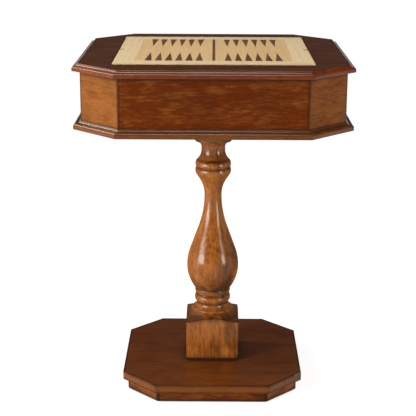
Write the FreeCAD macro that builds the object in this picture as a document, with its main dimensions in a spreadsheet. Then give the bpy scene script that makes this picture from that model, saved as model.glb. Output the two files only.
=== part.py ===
import FreeCAD, Part
import os
import re
import Sketcher

# Games table: an eight-sided storage box with a lift-out board, on one turned column
# and an eight-sided base.
# Millimetres, +Z up, +X to the right, front towards -Y. The origin is on the floor, on the column's axis.

SIZES = {
    # Floor glides
    "glide_radius": 10.0,
    "glide_thickness": 2.0,
    "glide_nail_radius": 1.2,
    "glide_nail_length": 12.0,
    # Base: a slab on a frame of plinth strips
    "slab_width": 419.2,
    "slab_corner_leg": 78.9,
    "slab_thickness": 19.8,
    "slab_easing": 1.0,
    "plinth_height": 24.2,
    "plinth_recess": 11.6,
    "plinth_strip_width": 26.0,
    "plinth_block_leg": 24.0,
    "plinth_block_height": 20.0,
    # Column, cut from a square blank: the rise and the end radius of each turned stretch, from the foot up
    "blank_width": 124.8,
    "blank_easing": 1.2,
    "foot_block_rise": 96.0,
    "foot_shoulder_rise": 18.5,
    "foot_shoulder_hollow": 3.2,
    "foot_ring_radius": 48.5,
    "foot_ring_rise": 4.0,
    "foot_ring_swell": 0.9,
    "foot_cove_radius": 46.0,
    "foot_cove_rise": 11.5,
    "foot_neck_radius": 38.3,
    "foot_neck_rise": 2.5,
    "low_bead_rise": 18.5,
    "low_bead_swell": 4.0,
    "bead_groove_radius": 39.6,
    "thin_ring_rise": 3.0,
    "thin_ring_swell": 1.1,
    "high_bead_rise": 12.5,
    "high_bead_swell": 1.6,
    "bulb_foot_radius": 41.5,
    "bulb_lower_rise": 57.5,
    "bulb_radius": 61.5,
    "bulb_upper_rise": 40.4,
    "bulb_shoulder_radius": 54.4,
    "taper_rise": 55.4,
    "taper_end_radius": 34.3,
    "waist_lower_rise": 79.2,
    "waist_radius": 20.3,
    "waist_upper_rise": 36.3,
    "flare_radius": 30.8,
    "flare_rise": 15.2,
    "collar_foot_radius": 40.5,
    "lower_collar_rise": 15.5,
    "lower_collar_swell": 1.95,
    "collar_groove_radius": 40.0,
    "upper_collar_rise": 16.0,
    "upper_collar_swell": 2.0,
    "collar_top_radius": 39.8,
    "throat_lower_rise": 25.5,
    "throat_radius": 27.1,
    "throat_rise": 5.5,
    "cap_cove_rise": 16.0,
    "cap_radius": 43.0,
    "cap_rise": 4.5,
    "head_shoulder_rise": 28.5,
    "head_shoulder_hollow": 3.2,
    "head_block_rise": 16.7,
    # Screws up through the slab into the column's foot
    "base_screw_spread": 36.0,
    "base_screw_radius": 4.0,
    "base_screw_grip": 50.0,
    "base_head_flats": 13.0,
    "base_head_height": 5.0,
    "base_washer_radius": 10.0,
    "base_washer_thickness": 1.6,
    # Plate between the column and the box
    "plate_thickness": 18.0,
    "plate_chamfer": 5.0,
    "column_screw_spread": 22.0,
    "column_screw_radius": 3.0,
    "column_screw_grip": 45.0,
    "column_screw_head_radius": 6.0,
    "column_screw_head_height": 4.0,
    "bolt_clearance": 15.6,
    "bolt_inset": 22.0,
    "bolt_radius": 3.0,
    "bolt_head_flats": 10.0,
    "bolt_head_height": 4.0,
    "bolt_washer_radius": 8.0,
    "bolt_washer_thickness": 1.2,
    "tee_flange_radius": 9.5,
    "tee_flange_thickness": 1.6,
    "tee_barrel_radius": 4.2,
    "tee_barrel_length": 9.0,
    # Box
    "apron_corner_leg": 87.2,
    "apron_height": 126.1,
    "apron_thickness": 18.0,
    "bottom_thickness": 12.0,
    "glue_block_leg": 22.0,
    # Moulding round the foot of the apron
    "lower_projection": 16.4,
    "lower_height": 18.0,
    "lower_arris": 2.2,
    "lower_cove_hollow": 1.6,
    "lower_riser": 0.9,
    "lower_shelf": 0.9,
    "lower_lip_height": 12.2,
    "lower_lip_round": 1.6,
    "lower_foot_round": 1.2,
    # Top panel, from its square opening out to its edge, and the moulding round it
    "top_margin": 73.4,
    "panel_overhang": 3.8,
    "panel_thickness": 16.2,
    "upper_projection": 12.6,
    "upper_arris": 1.8,
    "upper_cove_hollow": 1.2,
    "upper_riser": 0.8,
    "upper_shelf": 0.8,
    "upper_lip_height": 9.8,
    "upper_lip_round": 2.0,
    "upper_foot_round": 1.2,
    # Battens that carry the board
    "ledge_reach": 10.0,
    "ledge_lap": 20.0,
    "ledge_thickness": 12.0,
    "ledge_relief_margin": 2.0,
    "ledge_screw_inset": 66.0,
    "ledge_screw_radius": 1.8,
    "ledge_screw_grip": 9.0,
    "ledge_screw_head_radius": 3.6,
    "ledge_screw_head_height": 2.4,
    # Lift-out board
    "board_width": 430.0,
    "board_gap": 1.0,
    "core_thickness": 16.2,
    "veneer_thickness": 1.0,
    "lipping_width": 4.0,
    "notch_radius": 11.0,
    "border_width": 41.4,
    "bar_width": 6.2,
    # Points: the part of a quarter's width that their row takes, a point's width as a part of the pitch
    # from one to the next, and its length as a part of half the field
    "point_row_share": 0.756,
    "point_width_share": 0.718,
    "point_length_share": 0.7184,
    # Fits
    "glue_line": 0.1,
    "screw_gap": 0.2,
    "cut_overrun": 4.0,
}

POINT_COUNT = 6
SQUARE_COUNT = 8
QUARTER_COUNT = 4

SIDES = ("back", "back_left", "left", "front_left", "front", "front_right", "right", "back_right")
SIDE_ANGLE = 45

CLOCKWISE = "clockwise"
ANTICLOCKWISE = "anticlockwise"

DOCUMENT = FreeCAD.newDocument("games_table")
SHEET = DOCUMENT.addObject("Spreadsheet::Sheet", "sizes")
for row, (size_name, size) in enumerate(SIZES.items(), start=1):
    SHEET.set(f"A{row}", size_name)
    SHEET.set(f"B{row}", str(size))
    SHEET.setAlias(f"B{row}", size_name)
DOCUMENT.recompute()

BODIES = []


# Formulas


def bound(formula):
    """The formula with each size's name pointed at its cell."""
    return re.sub(r"[a-z_]+", lambda word: f"sizes.{word[0]}" if word[0] in SIZES else word[0], formula)


def value(formula):
    """What the formula comes to."""
    result = SHEET.evalExpression(bound(formula))
    return float(getattr(result, "Value", result))


def negative(formula):
    return f"-1 * ({formula})"


# Sketches and features


def new_body(name, level="0", turn=0):
    """An empty body at a height, turned about the column's axis."""
    body = DOCUMENT.addObject("PartDesign::Body", name)
    body.Label = name
    body.Placement = FreeCAD.Placement(FreeCAD.Vector(), FreeCAD.Rotation(FreeCAD.Vector(0, 0, 1), turn))
    body.setExpression("Placement.Base.z", bound(level))
    BODIES.append(body)
    return body


def origin_part(body, role):
    return next(feature for feature in body.Origin.OriginFeatures if feature.Role == role)


def new_sketch(body, name, role, level="0"):
    """An empty sketch on one of the body's origin planes, raised off it by a level."""
    sketch = body.newObject("Sketcher::SketchObject", f"{body.Name}_{name}")
    sketch.AttachmentSupport = [(origin_part(body, role), "")]
    sketch.MapMode = "FlatFace"
    sketch.setExpression("AttachmentOffset.Base.z", bound(level))
    return sketch


def bind(sketch, kind, places, formula):
    """A sketch dimension tied to a formula."""
    number = sketch.addConstraint(Sketcher.Constraint(kind, *places, value(formula)))
    sketch.setExpression(f"Constraints[{number}]", bound(formula))


def bind_point(sketch, place, x, y):
    bind(sketch, "DistanceX", (-1, 1, *place), x)
    bind(sketch, "DistanceY", (-1, 1, *place), y)


def bend_radius(start, end, swell):
    """Radius of a bend that swells from its chord by that much, or else is upright at one end."""
    across = f"({end[0]} - ({start[0]}))"
    along = f"({end[1]} - ({start[1]}))"
    chord_squared = f"({across} ^ 2 + {along} ^ 2)"
    if swell:
        return f"{chord_squared} / (8 * {swell}) + {swell} / 2"
    return f"{chord_squared} / (2 * abs({across}))"


def bend_arc(start, end, radius, turn):
    """The shorter arc between two places that turns that way."""
    start, end = (FreeCAD.Vector(value(x), value(y), 0) for x, y in (start, end))
    chord = end - start
    left = FreeCAD.Vector(-chord.y, chord.x, 0).normalize()
    middle = (start + end) / 2
    inwards = left if turn == ANTICLOCKWISE else -left
    centre = middle + inwards * (radius**2 - chord.Length**2 / 4) ** 0.5
    return Part.Arc(start, centre - inwards * radius, end)


def add_outline(sketch, corners):
    """A closed outline. Each corner is x, y and, where a bend runs into it, the bend's turn and swell."""
    ends = []
    for number, corner in enumerate(corners):
        before = corners[number - 1]
        start = (value(before[0]), value(before[1]))
        if len(corner) == 2:
            first = FreeCAD.Vector(*start, 0)
            last = FreeCAD.Vector(value(corner[0]), value(corner[1]), 0)
            edge = sketch.addGeometry(Part.LineSegment(first, last), False)
            ends.append(((edge, 1), (edge, 2)))
            continue
        turn, swell = corner[2], corner[3] if len(corner) > 3 else None
        radius = bend_radius(before, corner, swell)
        edge = sketch.addGeometry(bend_arc(before[:2], corner[:2], value(radius), turn), False)
        bind(sketch, "Radius", (edge,), radius)
        ends.append(((edge, 1), (edge, 2)) if turn == ANTICLOCKWISE else ((edge, 2), (edge, 1)))
    for number, corner in enumerate(corners):
        following = ends[(number + 1) % len(ends)]
        sketch.addConstraint(Sketcher.Constraint("Coincident", *ends[number][1], *following[0]))
        bind_point(sketch, ends[number][1], corner[0], corner[1])
    return sketch


def add_circle(sketch, x, y, radius):
    centre = FreeCAD.Vector(value(x), value(y), 0)
    edge = sketch.addGeometry(Part.Circle(centre, FreeCAD.Vector(0, 0, 1), value(radius)), False)
    bind(sketch, "Radius", (edge,), radius)
    bind_point(sketch, (edge, 3), x, y)
    return sketch


def add_hexagon(sketch, x, y, flats):
    """A hexagon with two corners on the line through its middle along X."""
    corner, step, flat = f"({flats} / sqrt(3))", f"({flats} / sqrt(3) / 2)", f"({flats} / 2)"
    offsets = ((corner, "0"), (step, flat), (negative(step), flat))
    ring = list(offsets) + [(negative(across), negative(along)) for across, along in offsets]
    return add_outline(sketch, [(f"{x} + {across}", f"{y} + {along}") for across, along in ring])


def pad(body, sketch, length, name="pad"):
    feature = body.newObject("PartDesign::Pad", f"{body.Name}_{name}")
    feature.Profile = sketch
    feature.setExpression("Length", bound(length))
    DOCUMENT.recompute()
    return feature


def checked_cut(body, feature):
    """Stops if a cut took nothing away."""
    before = feature.BaseFeature.Shape.Volume
    DOCUMENT.recompute()
    if not feature.Shape.Volume < before:
        raise ValueError(f"{feature.Name} in {body.Name} cuts nothing")
    return feature


def pocket(body, sketch, length, name="pocket", both_ways=False, upwards=False):
    """A cut down from the sketch, up from it, or half its length each way."""
    feature = body.newObject("PartDesign::Pocket", f"{body.Name}_{name}")
    feature.Profile = sketch
    feature.setExpression("Length", bound(length))
    feature.Midplane = both_ways
    feature.Reversed = upwards
    return checked_cut(body, feature)


def drill(body, name, places, radius, level, depth, upwards=False):
    sketch = new_sketch(body, name + "_sketch", "XY_Plane", level)
    for x, y in places:
        add_circle(sketch, x, y, radius)
    return pocket(body, sketch, depth, name, upwards=upwards)


def studs(body, name, places, radius, level, length):
    """Round pegs that stand up from a level."""
    sketch = new_sketch(body, name + "_sketch", "XY_Plane", level)
    for x, y in places:
        add_circle(sketch, x, y, radius)
    return pad(body, sketch, length, name)


def hex_heads(body, name, places, flats, level, height):
    sketch = new_sketch(body, name + "_sketch", "XY_Plane", level)
    for x, y in places:
        add_hexagon(sketch, x, y, flats)
    return pad(body, sketch, height, name)


def row_step(body, axis, spacing, count):
    step = body.newObject("PartDesign::LinearPattern", f"{body.Name}_row_{axis}")
    step.Direction = (origin_part(body, axis), [""])
    step.Mode = "Spacing"
    step.setExpression("Offset", bound(spacing))
    step.Occurrences = count
    return step


def mirror_step(body, role):
    step = body.newObject("PartDesign::Mirrored", f"{body.Name}_mirror_{role}")
    step.MirrorPlane = (origin_part(body, role), [""])
    return step


def turn_step(body, count):
    step = body.newObject("PartDesign::PolarPattern", f"{body.Name}_turn")
    step.Axis = (origin_part(body, "Z_Axis"), [""])
    step.Occurrences = count
    return step


def repeat(body, features, steps, name="repeat"):
    """The features repeated by each step in turn."""
    feature = body.newObject("PartDesign::MultiTransform", f"{body.Name}_{name}")
    feature.Originals = features
    feature.Transformations = steps
    body.Tip = feature
    DOCUMENT.recompute()
    return feature


def soften(body, kind, base, size, wanted):
    """Fillet or Chamfer the edges of the base that the test picks out."""
    picked = [f"Edge{number}" for number, edge in enumerate(base.Shape.Edges, start=1) if wanted(edge)]
    feature = body.newObject(f"PartDesign::{kind}", f"{body.Name}_{kind.lower()}")
    feature.Base = (base, picked)
    feature.setExpression("Radius" if kind == "Fillet" else "Size", bound(size))
    return checked_cut(body, feature)


def is_upright(edge):
    box = edge.BoundBox
    return box.ZLength > max(box.XLength, box.YLength)


def at_height(height):
    """A test for edges that lie level at that height."""
    tolerance = value("glue_line")

    def is_level_there(edge):
        box = edge.BoundBox
        return max(abs(box.ZMin - height), abs(box.ZMax - height)) < tolerance

    return is_level_there


# Shared outlines


def octagon(half, leg, inset="0"):
    """Corners of a square with its corners cut back by the leg, all drawn in by the inset."""
    far = f"({half} - {inset})"
    near = f"({half} - {leg} - ({inset}) * (sqrt(2) - 1))"
    quarter = [(far, negative(near)), (far, near), (near, far), (negative(near), far)]
    return quarter + [(negative(x), negative(y)) for x, y in quarter]


def rectangle(x_low, x_high, y_low, y_high):
    return [(x_low, y_low), (x_high, y_low), (x_high, y_high), (x_low, y_high)]


def square(half):
    return rectangle(negative(half), half, negative(half), half)


def four_corners(spread):
    return [(x, y) for x in (spread, negative(spread)) for y in (spread, negative(spread))]


def side_face(number, half, leg):
    """How far a side's face is from the axis, and half the length of that face."""
    if number % 2:
        return f"(2 * {half} - {leg}) / sqrt(2)", f"{leg} / sqrt(2)"
    return half, f"({half} - {leg})"


def mitred_strips(prefix, half, leg, inner, outer, height, level, profile=None):
    """Eight strips round an octagon, mitred where they meet, from inner to outer past its faces."""
    strips = {}
    for number, side in enumerate(SIDES):
        face, run = side_face(number, half, leg)
        body = new_body(f"{prefix}_{side}", level, number * SIDE_ANGLE)
        near, near_run = f"{face} + ({inner})", f"({run} + ({inner}) * (sqrt(2) - 1))"
        far, far_run = f"{face} + ({outer})", f"({run} + ({outer}) * (sqrt(2) - 1))"
        plan = [(negative(near_run), near), (near_run, near), (far_run, far), (negative(far_run), far)]
        pad(body, add_outline(new_sketch(body, "plan", "XY_Plane"), plan), height)
        if profile:
            waste = add_outline(new_sketch(body, "waste", "YZ_Plane"), profile(near, far))
            pocket(body, waste, f"2 * {far_run} + cut_overrun", "shaping", both_ways=True)
        strips[side] = body, face
    return strips


def moulding_waste(prefix, height):
    """The waste outside a moulding: a rounded arris, a cove, a riser, and a lip with rounded edges."""
    arris, riser, shelf = f"{prefix}_arris", f"{prefix}_riser", f"{prefix}_shelf"
    lip, lip_round, foot_round = f"{prefix}_lip_height", f"{prefix}_lip_round", f"{prefix}_foot_round"
    hollow = f"{prefix}_cove_hollow"

    def waste(near, far):
        shelf_start = f"{far} - {lip_round} - {shelf}"
        return [
            (near, height),
            (f"{near} + {arris}", f"{height} - {arris}", CLOCKWISE),
            (shelf_start, f"{lip} + {riser}", ANTICLOCKWISE, hollow),
            (shelf_start, lip),
            (f"{far} - {lip_round}", lip),
            (far, f"{lip} - {lip_round}", CLOCKWISE),
            (far, foot_round),
            (f"{far} - {foot_round}", "0", CLOCKWISE),
            (f"{far} - {foot_round}", "-1 * cut_overrun"),
            (f"{far} + cut_overrun", "-1 * cut_overrun"),
            (f"{far} + cut_overrun", f"{height} + cut_overrun"),
            (near, f"{height} + cut_overrun"),
        ]

    return waste


def corner_blocks(name, level, half, leg, inset, block_leg, height):
    """Eight glue blocks, one in each inner corner of a frame of strips."""
    body = new_body(name, level)
    x = f"({half} - {leg} - {inset} * (sqrt(2) - 1))"
    y = f"({half} - {inset})"
    along = f"({block_leg} / sqrt(2))"
    plan = [(x, y), (f"{x} - {block_leg}", y), (f"{x} + {along}", f"{y} - {along}")]
    block = pad(body, add_outline(new_sketch(body, "plan", "XY_Plane"), plan), height)
    repeat(body, [block], [mirror_step(body, "YZ_Plane"), turn_step(body, QUARTER_COUNT)])
    return body


# Levels

SLAB_LEVEL = "glide_thickness + plinth_height"
COLUMN_LEVEL = f"{SLAB_LEVEL} + slab_thickness"
PLATE_LEVEL = f"{COLUMN_LEVEL} + column_blank.Length / 1 mm"
BOX_LEVEL = f"{PLATE_LEVEL} + plate_thickness"
PANEL_LEVEL = f"{BOX_LEVEL} + apron_height"
BOARD_FACE = "(veneer_thickness + core_thickness)"

# Shared half widths

SLAB_HALF = "slab_width / 2"
PLINTH_HALF = "(slab_width / 2 - plinth_recess)"
PLINTH_LEG = "(slab_corner_leg - plinth_recess * (2 - sqrt(2)))"
BOARD_HALF = "(board_width / 2)"
CORE_HALF = f"({BOARD_HALF} - lipping_width)"
FIELD_HALF = f"({CORE_HALF} - border_width)"
OPENING_HALF = f"({BOARD_HALF} + board_gap)"
APRON_HALF = f"({OPENING_HALF} + top_margin - panel_overhang)"
BLANK_HALF = "(blank_width / 2)"
BOLT_SPREAD = f"({BLANK_HALF} + bolt_clearance)"
PLATE_HALF = f"({BOLT_SPREAD} + bolt_inset)"


# Base


def make_floor_glides():
    """Four glides nailed under the plinth's corner strips."""
    body = new_body("floor_glides")
    reach = f"({side_face(1, PLINTH_HALF, PLINTH_LEG)[0]} - plinth_strip_width / 2)"
    place = [(f"{reach} / sqrt(2)", f"{reach} / sqrt(2)")]
    disc = studs(body, "disc", place, "glide_radius", "0", "glide_thickness")
    nail = studs(body, "nail", place, "glide_nail_radius", "glide_thickness", "glide_nail_length")
    repeat(body, [disc, nail], [turn_step(body, QUARTER_COUNT)])


def make_plinth():
    inner, height, level = "-1 * plinth_strip_width", "plinth_height", "glide_thickness"
    strips = mitred_strips("plinth", PLINTH_HALF, PLINTH_LEG, inner, "0", height, level)
    radius, depth = "glide_nail_radius + screw_gap", "glide_nail_length + screw_gap"
    for side, (body, face) in strips.items():
        if "_" in side:
            nail_place = [("0", f"{face} - plinth_strip_width / 2")]
            drill(body, "nail_hole", nail_place, radius, "0", depth, upwards=True)


def make_plinth_blocks():
    level = f"{SLAB_LEVEL} - plinth_block_height"
    inset, height = "plinth_strip_width", "plinth_block_height"
    corner_blocks("plinth_blocks", level, PLINTH_HALF, PLINTH_LEG, inset, "plinth_block_leg", height)


def make_base_slab():
    body = new_body("base_slab", SLAB_LEVEL)
    plan = octagon(SLAB_HALF, "slab_corner_leg")
    blank = pad(body, add_outline(new_sketch(body, "plan", "XY_Plane"), plan), "slab_thickness")
    soften(body, "Fillet", blank, "slab_easing", at_height(value("slab_thickness")))
    radius = "base_screw_radius + screw_gap"
    drill(body, "holes", four_corners("base_screw_spread"), radius, "slab_thickness", "slab_thickness")


def make_base_washers():
    body = new_body("base_washers", f"{SLAB_LEVEL} - base_washer_thickness")
    places, thickness = four_corners("base_screw_spread"), "base_washer_thickness"
    studs(body, "discs", places, "base_washer_radius", "0", thickness)
    drill(body, "bores", places, "base_screw_radius + screw_gap", thickness, thickness)


def make_base_screws():
    body = new_body("base_screws", f"{SLAB_LEVEL} - base_washer_thickness - base_head_height")
    places = four_corners("base_screw_spread")
    hex_heads(body, "heads", places, "base_head_flats", "0", "base_head_height")
    length = "base_washer_thickness + slab_thickness + base_screw_grip"
    studs(body, "shanks", places, "base_screw_radius", "base_head_height", length)


# Column


def column_profile():
    """The turned outline, from the foot block's shoulder up to the head block's."""
    reach = f"({BLANK_HALF} * sqrt(2) + cut_overrun)"
    stretches = (
        ("foot_shoulder_rise", "foot_ring_radius", CLOCKWISE, "foot_shoulder_hollow"),
        ("foot_ring_rise", "foot_cove_radius", ANTICLOCKWISE, "foot_ring_swell"),
        ("foot_cove_rise", "foot_neck_radius", CLOCKWISE),
        ("foot_neck_rise", "foot_neck_radius"),
        ("low_bead_rise", "bead_groove_radius", ANTICLOCKWISE, "low_bead_swell"),
        ("thin_ring_rise", "bead_groove_radius", ANTICLOCKWISE, "thin_ring_swell"),
        ("high_bead_rise", "bulb_foot_radius", ANTICLOCKWISE, "high_bead_swell"),
        ("bulb_lower_rise", "bulb_radius", ANTICLOCKWISE),
        ("bulb_upper_rise", "bulb_shoulder_radius", ANTICLOCKWISE),
        ("taper_rise", "taper_end_radius"),
        ("waist_lower_rise", "waist_radius", CLOCKWISE),
        ("waist_upper_rise", "flare_radius", CLOCKWISE),
        ("flare_rise", "collar_foot_radius"),
        ("lower_collar_rise", "collar_groove_radius", ANTICLOCKWISE, "lower_collar_swell"),
        ("upper_collar_rise", "collar_top_radius", ANTICLOCKWISE, "upper_collar_swell"),
        ("throat_lower_rise", "throat_radius", CLOCKWISE),
        ("throat_rise", "throat_radius"),
        ("cap_cove_rise", "cap_radius", CLOCKWISE),
        ("cap_rise", "cap_radius"),
        ("head_shoulder_rise", reach, CLOCKWISE, "head_shoulder_hollow"),
    )
    level = "foot_block_rise"
    corners = [(reach, level)]
    for rise, radius, *bend in stretches:
        level = f"{level} + {rise}"
        corners.append((radius, level, *bend))
    return corners, f"{level} + head_block_rise"


def make_column():
    body = new_body("column", COLUMN_LEVEL)
    profile, length = column_profile()
    blank_plan = add_outline(new_sketch(body, "plan", "XY_Plane"), square(BLANK_HALF))
    blank = pad(body, blank_plan, length, "blank")
    soften(body, "Fillet", blank, "blank_easing", is_upright)
    turning = body.newObject("PartDesign::Groove", "column_turning")
    turning.Profile = add_outline(new_sketch(body, "profile", "XZ_Plane"), profile)
    turning.ReferenceAxis = (origin_part(body, "Z_Axis"), [""])
    checked_cut(body, turning)
    foot_places, head_places = four_corners("base_screw_spread"), four_corners("column_screw_spread")
    foot_radius, head_radius = "base_screw_radius + screw_gap", "column_screw_radius + screw_gap"
    foot_depth, head_depth = "base_screw_grip + screw_gap", "column_screw_grip + screw_gap"
    drill(body, "foot_holes", foot_places, foot_radius, "0", foot_depth, upwards=True)
    drill(body, "head_holes", head_places, head_radius, "column_blank.Length", head_depth)


# Plate between the column and the box


def make_column_screws():
    body = new_body("column_screws", f"{PLATE_LEVEL} - column_screw_grip")
    places = four_corners("column_screw_spread")
    neck = "column_screw_grip + plate_thickness - column_screw_head_height"
    studs(body, "shanks", places, "column_screw_radius", "0", neck)
    studs(body, "heads", places, "column_screw_head_radius", neck, "column_screw_head_height")


def make_mounting_plate():
    body = new_body("mounting_plate", PLATE_LEVEL)
    plan = add_outline(new_sketch(body, "plan", "XY_Plane"), square(PLATE_HALF))
    blank = pad(body, plan, "plate_thickness")
    soften(body, "Chamfer", blank, "plate_chamfer", at_height(0))
    screw_places, bolt_places = four_corners("column_screw_spread"), four_corners(BOLT_SPREAD)
    top = "plate_thickness"
    drill(body, "screw_holes", screw_places, "column_screw_radius + screw_gap", top, top)
    seat_radius = "column_screw_head_radius + screw_gap"
    drill(body, "screw_seats", screw_places, seat_radius, top, "column_screw_head_height")
    drill(body, "bolt_holes", bolt_places, "bolt_radius + screw_gap", top, top)


def make_plate_washers():
    body = new_body("plate_washers", f"{PLATE_LEVEL} - bolt_washer_thickness")
    places = four_corners(BOLT_SPREAD)
    thickness = "bolt_washer_thickness"
    studs(body, "discs", places, "bolt_washer_radius", "0", thickness)
    drill(body, "bores", places, "bolt_radius + screw_gap", thickness, thickness)


def make_plate_bolts():
    body = new_body("plate_bolts", f"{PLATE_LEVEL} - bolt_washer_thickness - bolt_head_height")
    places = four_corners(BOLT_SPREAD)
    hex_heads(body, "heads", places, "bolt_head_flats", "0", "bolt_head_height")
    length = "bolt_washer_thickness + plate_thickness + bottom_thickness + tee_flange_thickness"
    studs(body, "shanks", places, "bolt_radius", "bolt_head_height", length)


def make_tee_nuts():
    body = new_body("tee_nuts", f"{BOX_LEVEL} + bottom_thickness - tee_barrel_length")
    places = four_corners(BOLT_SPREAD)
    studs(body, "barrels", places, "tee_barrel_radius", "0", "tee_barrel_length")
    studs(body, "flanges", places, "tee_flange_radius", "tee_barrel_length", "tee_flange_thickness")
    length = "tee_barrel_length + tee_flange_thickness"
    drill(body, "bores", places, "bolt_radius + screw_gap", length, length)


# Box


def make_box_bottom():
    body = new_body("box_bottom", BOX_LEVEL)
    plan = octagon(APRON_HALF, "apron_corner_leg", "apron_thickness")
    pad(body, add_outline(new_sketch(body, "plan", "XY_Plane"), plan), "bottom_thickness")
    radius = "tee_barrel_radius + screw_gap"
    drill(body, "nut_holes", four_corners(BOLT_SPREAD), radius, "bottom_thickness", "bottom_thickness")


def make_apron():
    leg, inner = "apron_corner_leg", "-1 * apron_thickness"
    mitred_strips("apron", APRON_HALF, leg, inner, "0", "apron_height", BOX_LEVEL)


def make_lower_moulding():
    waste = moulding_waste("lower", "lower_height")
    leg, reach = "apron_corner_leg", "lower_projection"
    mitred_strips("lower_moulding", APRON_HALF, leg, "0", reach, "lower_height", BOX_LEVEL, waste)


def make_glue_blocks():
    level = f"{BOX_LEVEL} + bottom_thickness"
    inset, height = "apron_thickness", "apron_height - bottom_thickness"
    corner_blocks("glue_blocks", level, APRON_HALF, "apron_corner_leg", inset, "glue_block_leg", height)


# Top


def back_ledge_screws():
    """Places of the three screws through the back ledge."""
    line = f"({OPENING_HALF} + ledge_lap / 2)"
    end = f"({OPENING_HALF} - ledge_screw_inset)"
    return [(x, line) for x in (end, "0", negative(end))]


def ledge_screw_places():
    front_and_back = [(x, y) for x, line in back_ledge_screws() for y in (line, negative(line))]
    return front_and_back + [(y, x) for x, y in front_and_back]


def make_top_panel():
    """The octagonal top with its square opening, and blind holes for the ledge screws."""
    body = new_body("top_panel", PANEL_LEVEL)
    plan = new_sketch(body, "plan", "XY_Plane")
    add_outline(plan, octagon(APRON_HALF, "apron_corner_leg", "(-1 * panel_overhang)"))
    add_outline(plan, square(OPENING_HALF))
    pad(body, plan, "panel_thickness")
    radius, depth = "ledge_screw_radius + screw_gap", "ledge_screw_grip + screw_gap"
    drill(body, "screw_holes", ledge_screw_places(), radius, "0", depth, upwards=True)


def make_top_moulding():
    waste = moulding_waste("upper", "panel_thickness")
    reach = "panel_overhang + upper_projection"
    leg, inner = "apron_corner_leg", "panel_overhang"
    mitred_strips("top_moulding", APRON_HALF, leg, inner, reach, "panel_thickness", PANEL_LEVEL, waste)


def make_ledges():
    """Battens under the edges of the opening. The left and right ones have a relief for a finger."""
    inner, outer = f"({OPENING_HALF} - ledge_reach)", f"({OPENING_HALF} + ledge_lap)"
    long_plan = rectangle(negative(OPENING_HALF), OPENING_HALF, inner, outer)
    short_plan = rectangle(negative(inner), inner, inner, outer)
    radius = "ledge_screw_radius + screw_gap"
    for number, side in enumerate(SIDES):
        if number % 2:
            continue
        body = new_body(f"ledge_{side}", f"{PANEL_LEVEL} - ledge_thickness", number * SIDE_ANGLE)
        is_long = side in ("front", "back")
        plan = add_outline(new_sketch(body, "plan", "XY_Plane"), long_plan if is_long else short_plan)
        pad(body, plan, "ledge_thickness")
        drill(body, "screw_holes", back_ledge_screws(), radius, "ledge_thickness", "ledge_thickness")
        if not is_long:
            half = "(notch_radius + ledge_relief_margin)"
            relief = rectangle(negative(half), half, f"{inner} - cut_overrun", OPENING_HALF)
            cut = add_outline(new_sketch(body, "relief_sketch", "XY_Plane", "ledge_thickness"), relief)
            pocket(body, cut, "ledge_thickness", "relief")


def make_ledge_screws():
    body = new_body("ledge_screws", f"{PANEL_LEVEL} - ledge_thickness - ledge_screw_head_height")
    places = ledge_screw_places()
    studs(body, "heads", places, "ledge_screw_head_radius", "0", "ledge_screw_head_height")
    length = "ledge_thickness + ledge_screw_grip"
    studs(body, "shanks", places, "ledge_screw_radius", "ledge_screw_head_height", length)


# Lift-out board


def cut_notches(body, top):
    """The finger notches at the middle of the board's left and right edges."""
    places = [(BOARD_HALF, "0"), (negative(BOARD_HALF), "0")]
    drill(body, "notches", places, "notch_radius", top, top)


def make_board_core():
    body = new_body("board_core", f"{PANEL_LEVEL} + veneer_thickness")
    pad(body, add_outline(new_sketch(body, "plan", "XY_Plane"), square(CORE_HALF)), "core_thickness")
    cut_notches(body, "core_thickness")


def make_board_lipping():
    """Edge strips: long ones front and back, and between them short ones that the notches part."""
    body = new_body("board_lipping", PANEL_LEVEL)
    plan = new_sketch(body, "plan", "XY_Plane")
    height = f"{BOARD_FACE} + veneer_thickness"
    end = f"({CORE_HALF} - glue_line)"
    back = rectangle(negative(BOARD_HALF), BOARD_HALF, CORE_HALF, BOARD_HALF)
    right = rectangle(CORE_HALF, BOARD_HALF, negative(end), end)
    for strip in (back, right):
        add_outline(plan, strip)
        add_outline(plan, [(negative(x), negative(y)) for x, y in strip])
    pad(body, plan, height)
    cut_notches(body, height)


def border_strips(name, level):
    """Four mitred strips of veneer between the field and the lipping."""
    body = new_body(name, level)
    plan = new_sketch(body, "plan", "XY_Plane")
    outer, inner = f"({CORE_HALF} - glue_line)", f"({FIELD_HALF} + glue_line)"
    outer_end, inner_end = f"({outer} - glue_line)", f"({inner} - glue_line)"
    strip = [(negative(outer_end), outer), (outer_end, outer), (inner_end, inner)]
    add_outline(plan, strip + [(negative(inner_end), inner)])
    strips = pad(body, plan, "veneer_thickness")
    repeat(body, [strips], [turn_step(body, QUARTER_COUNT)])
    cut_notches(body, "veneer_thickness")


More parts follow.
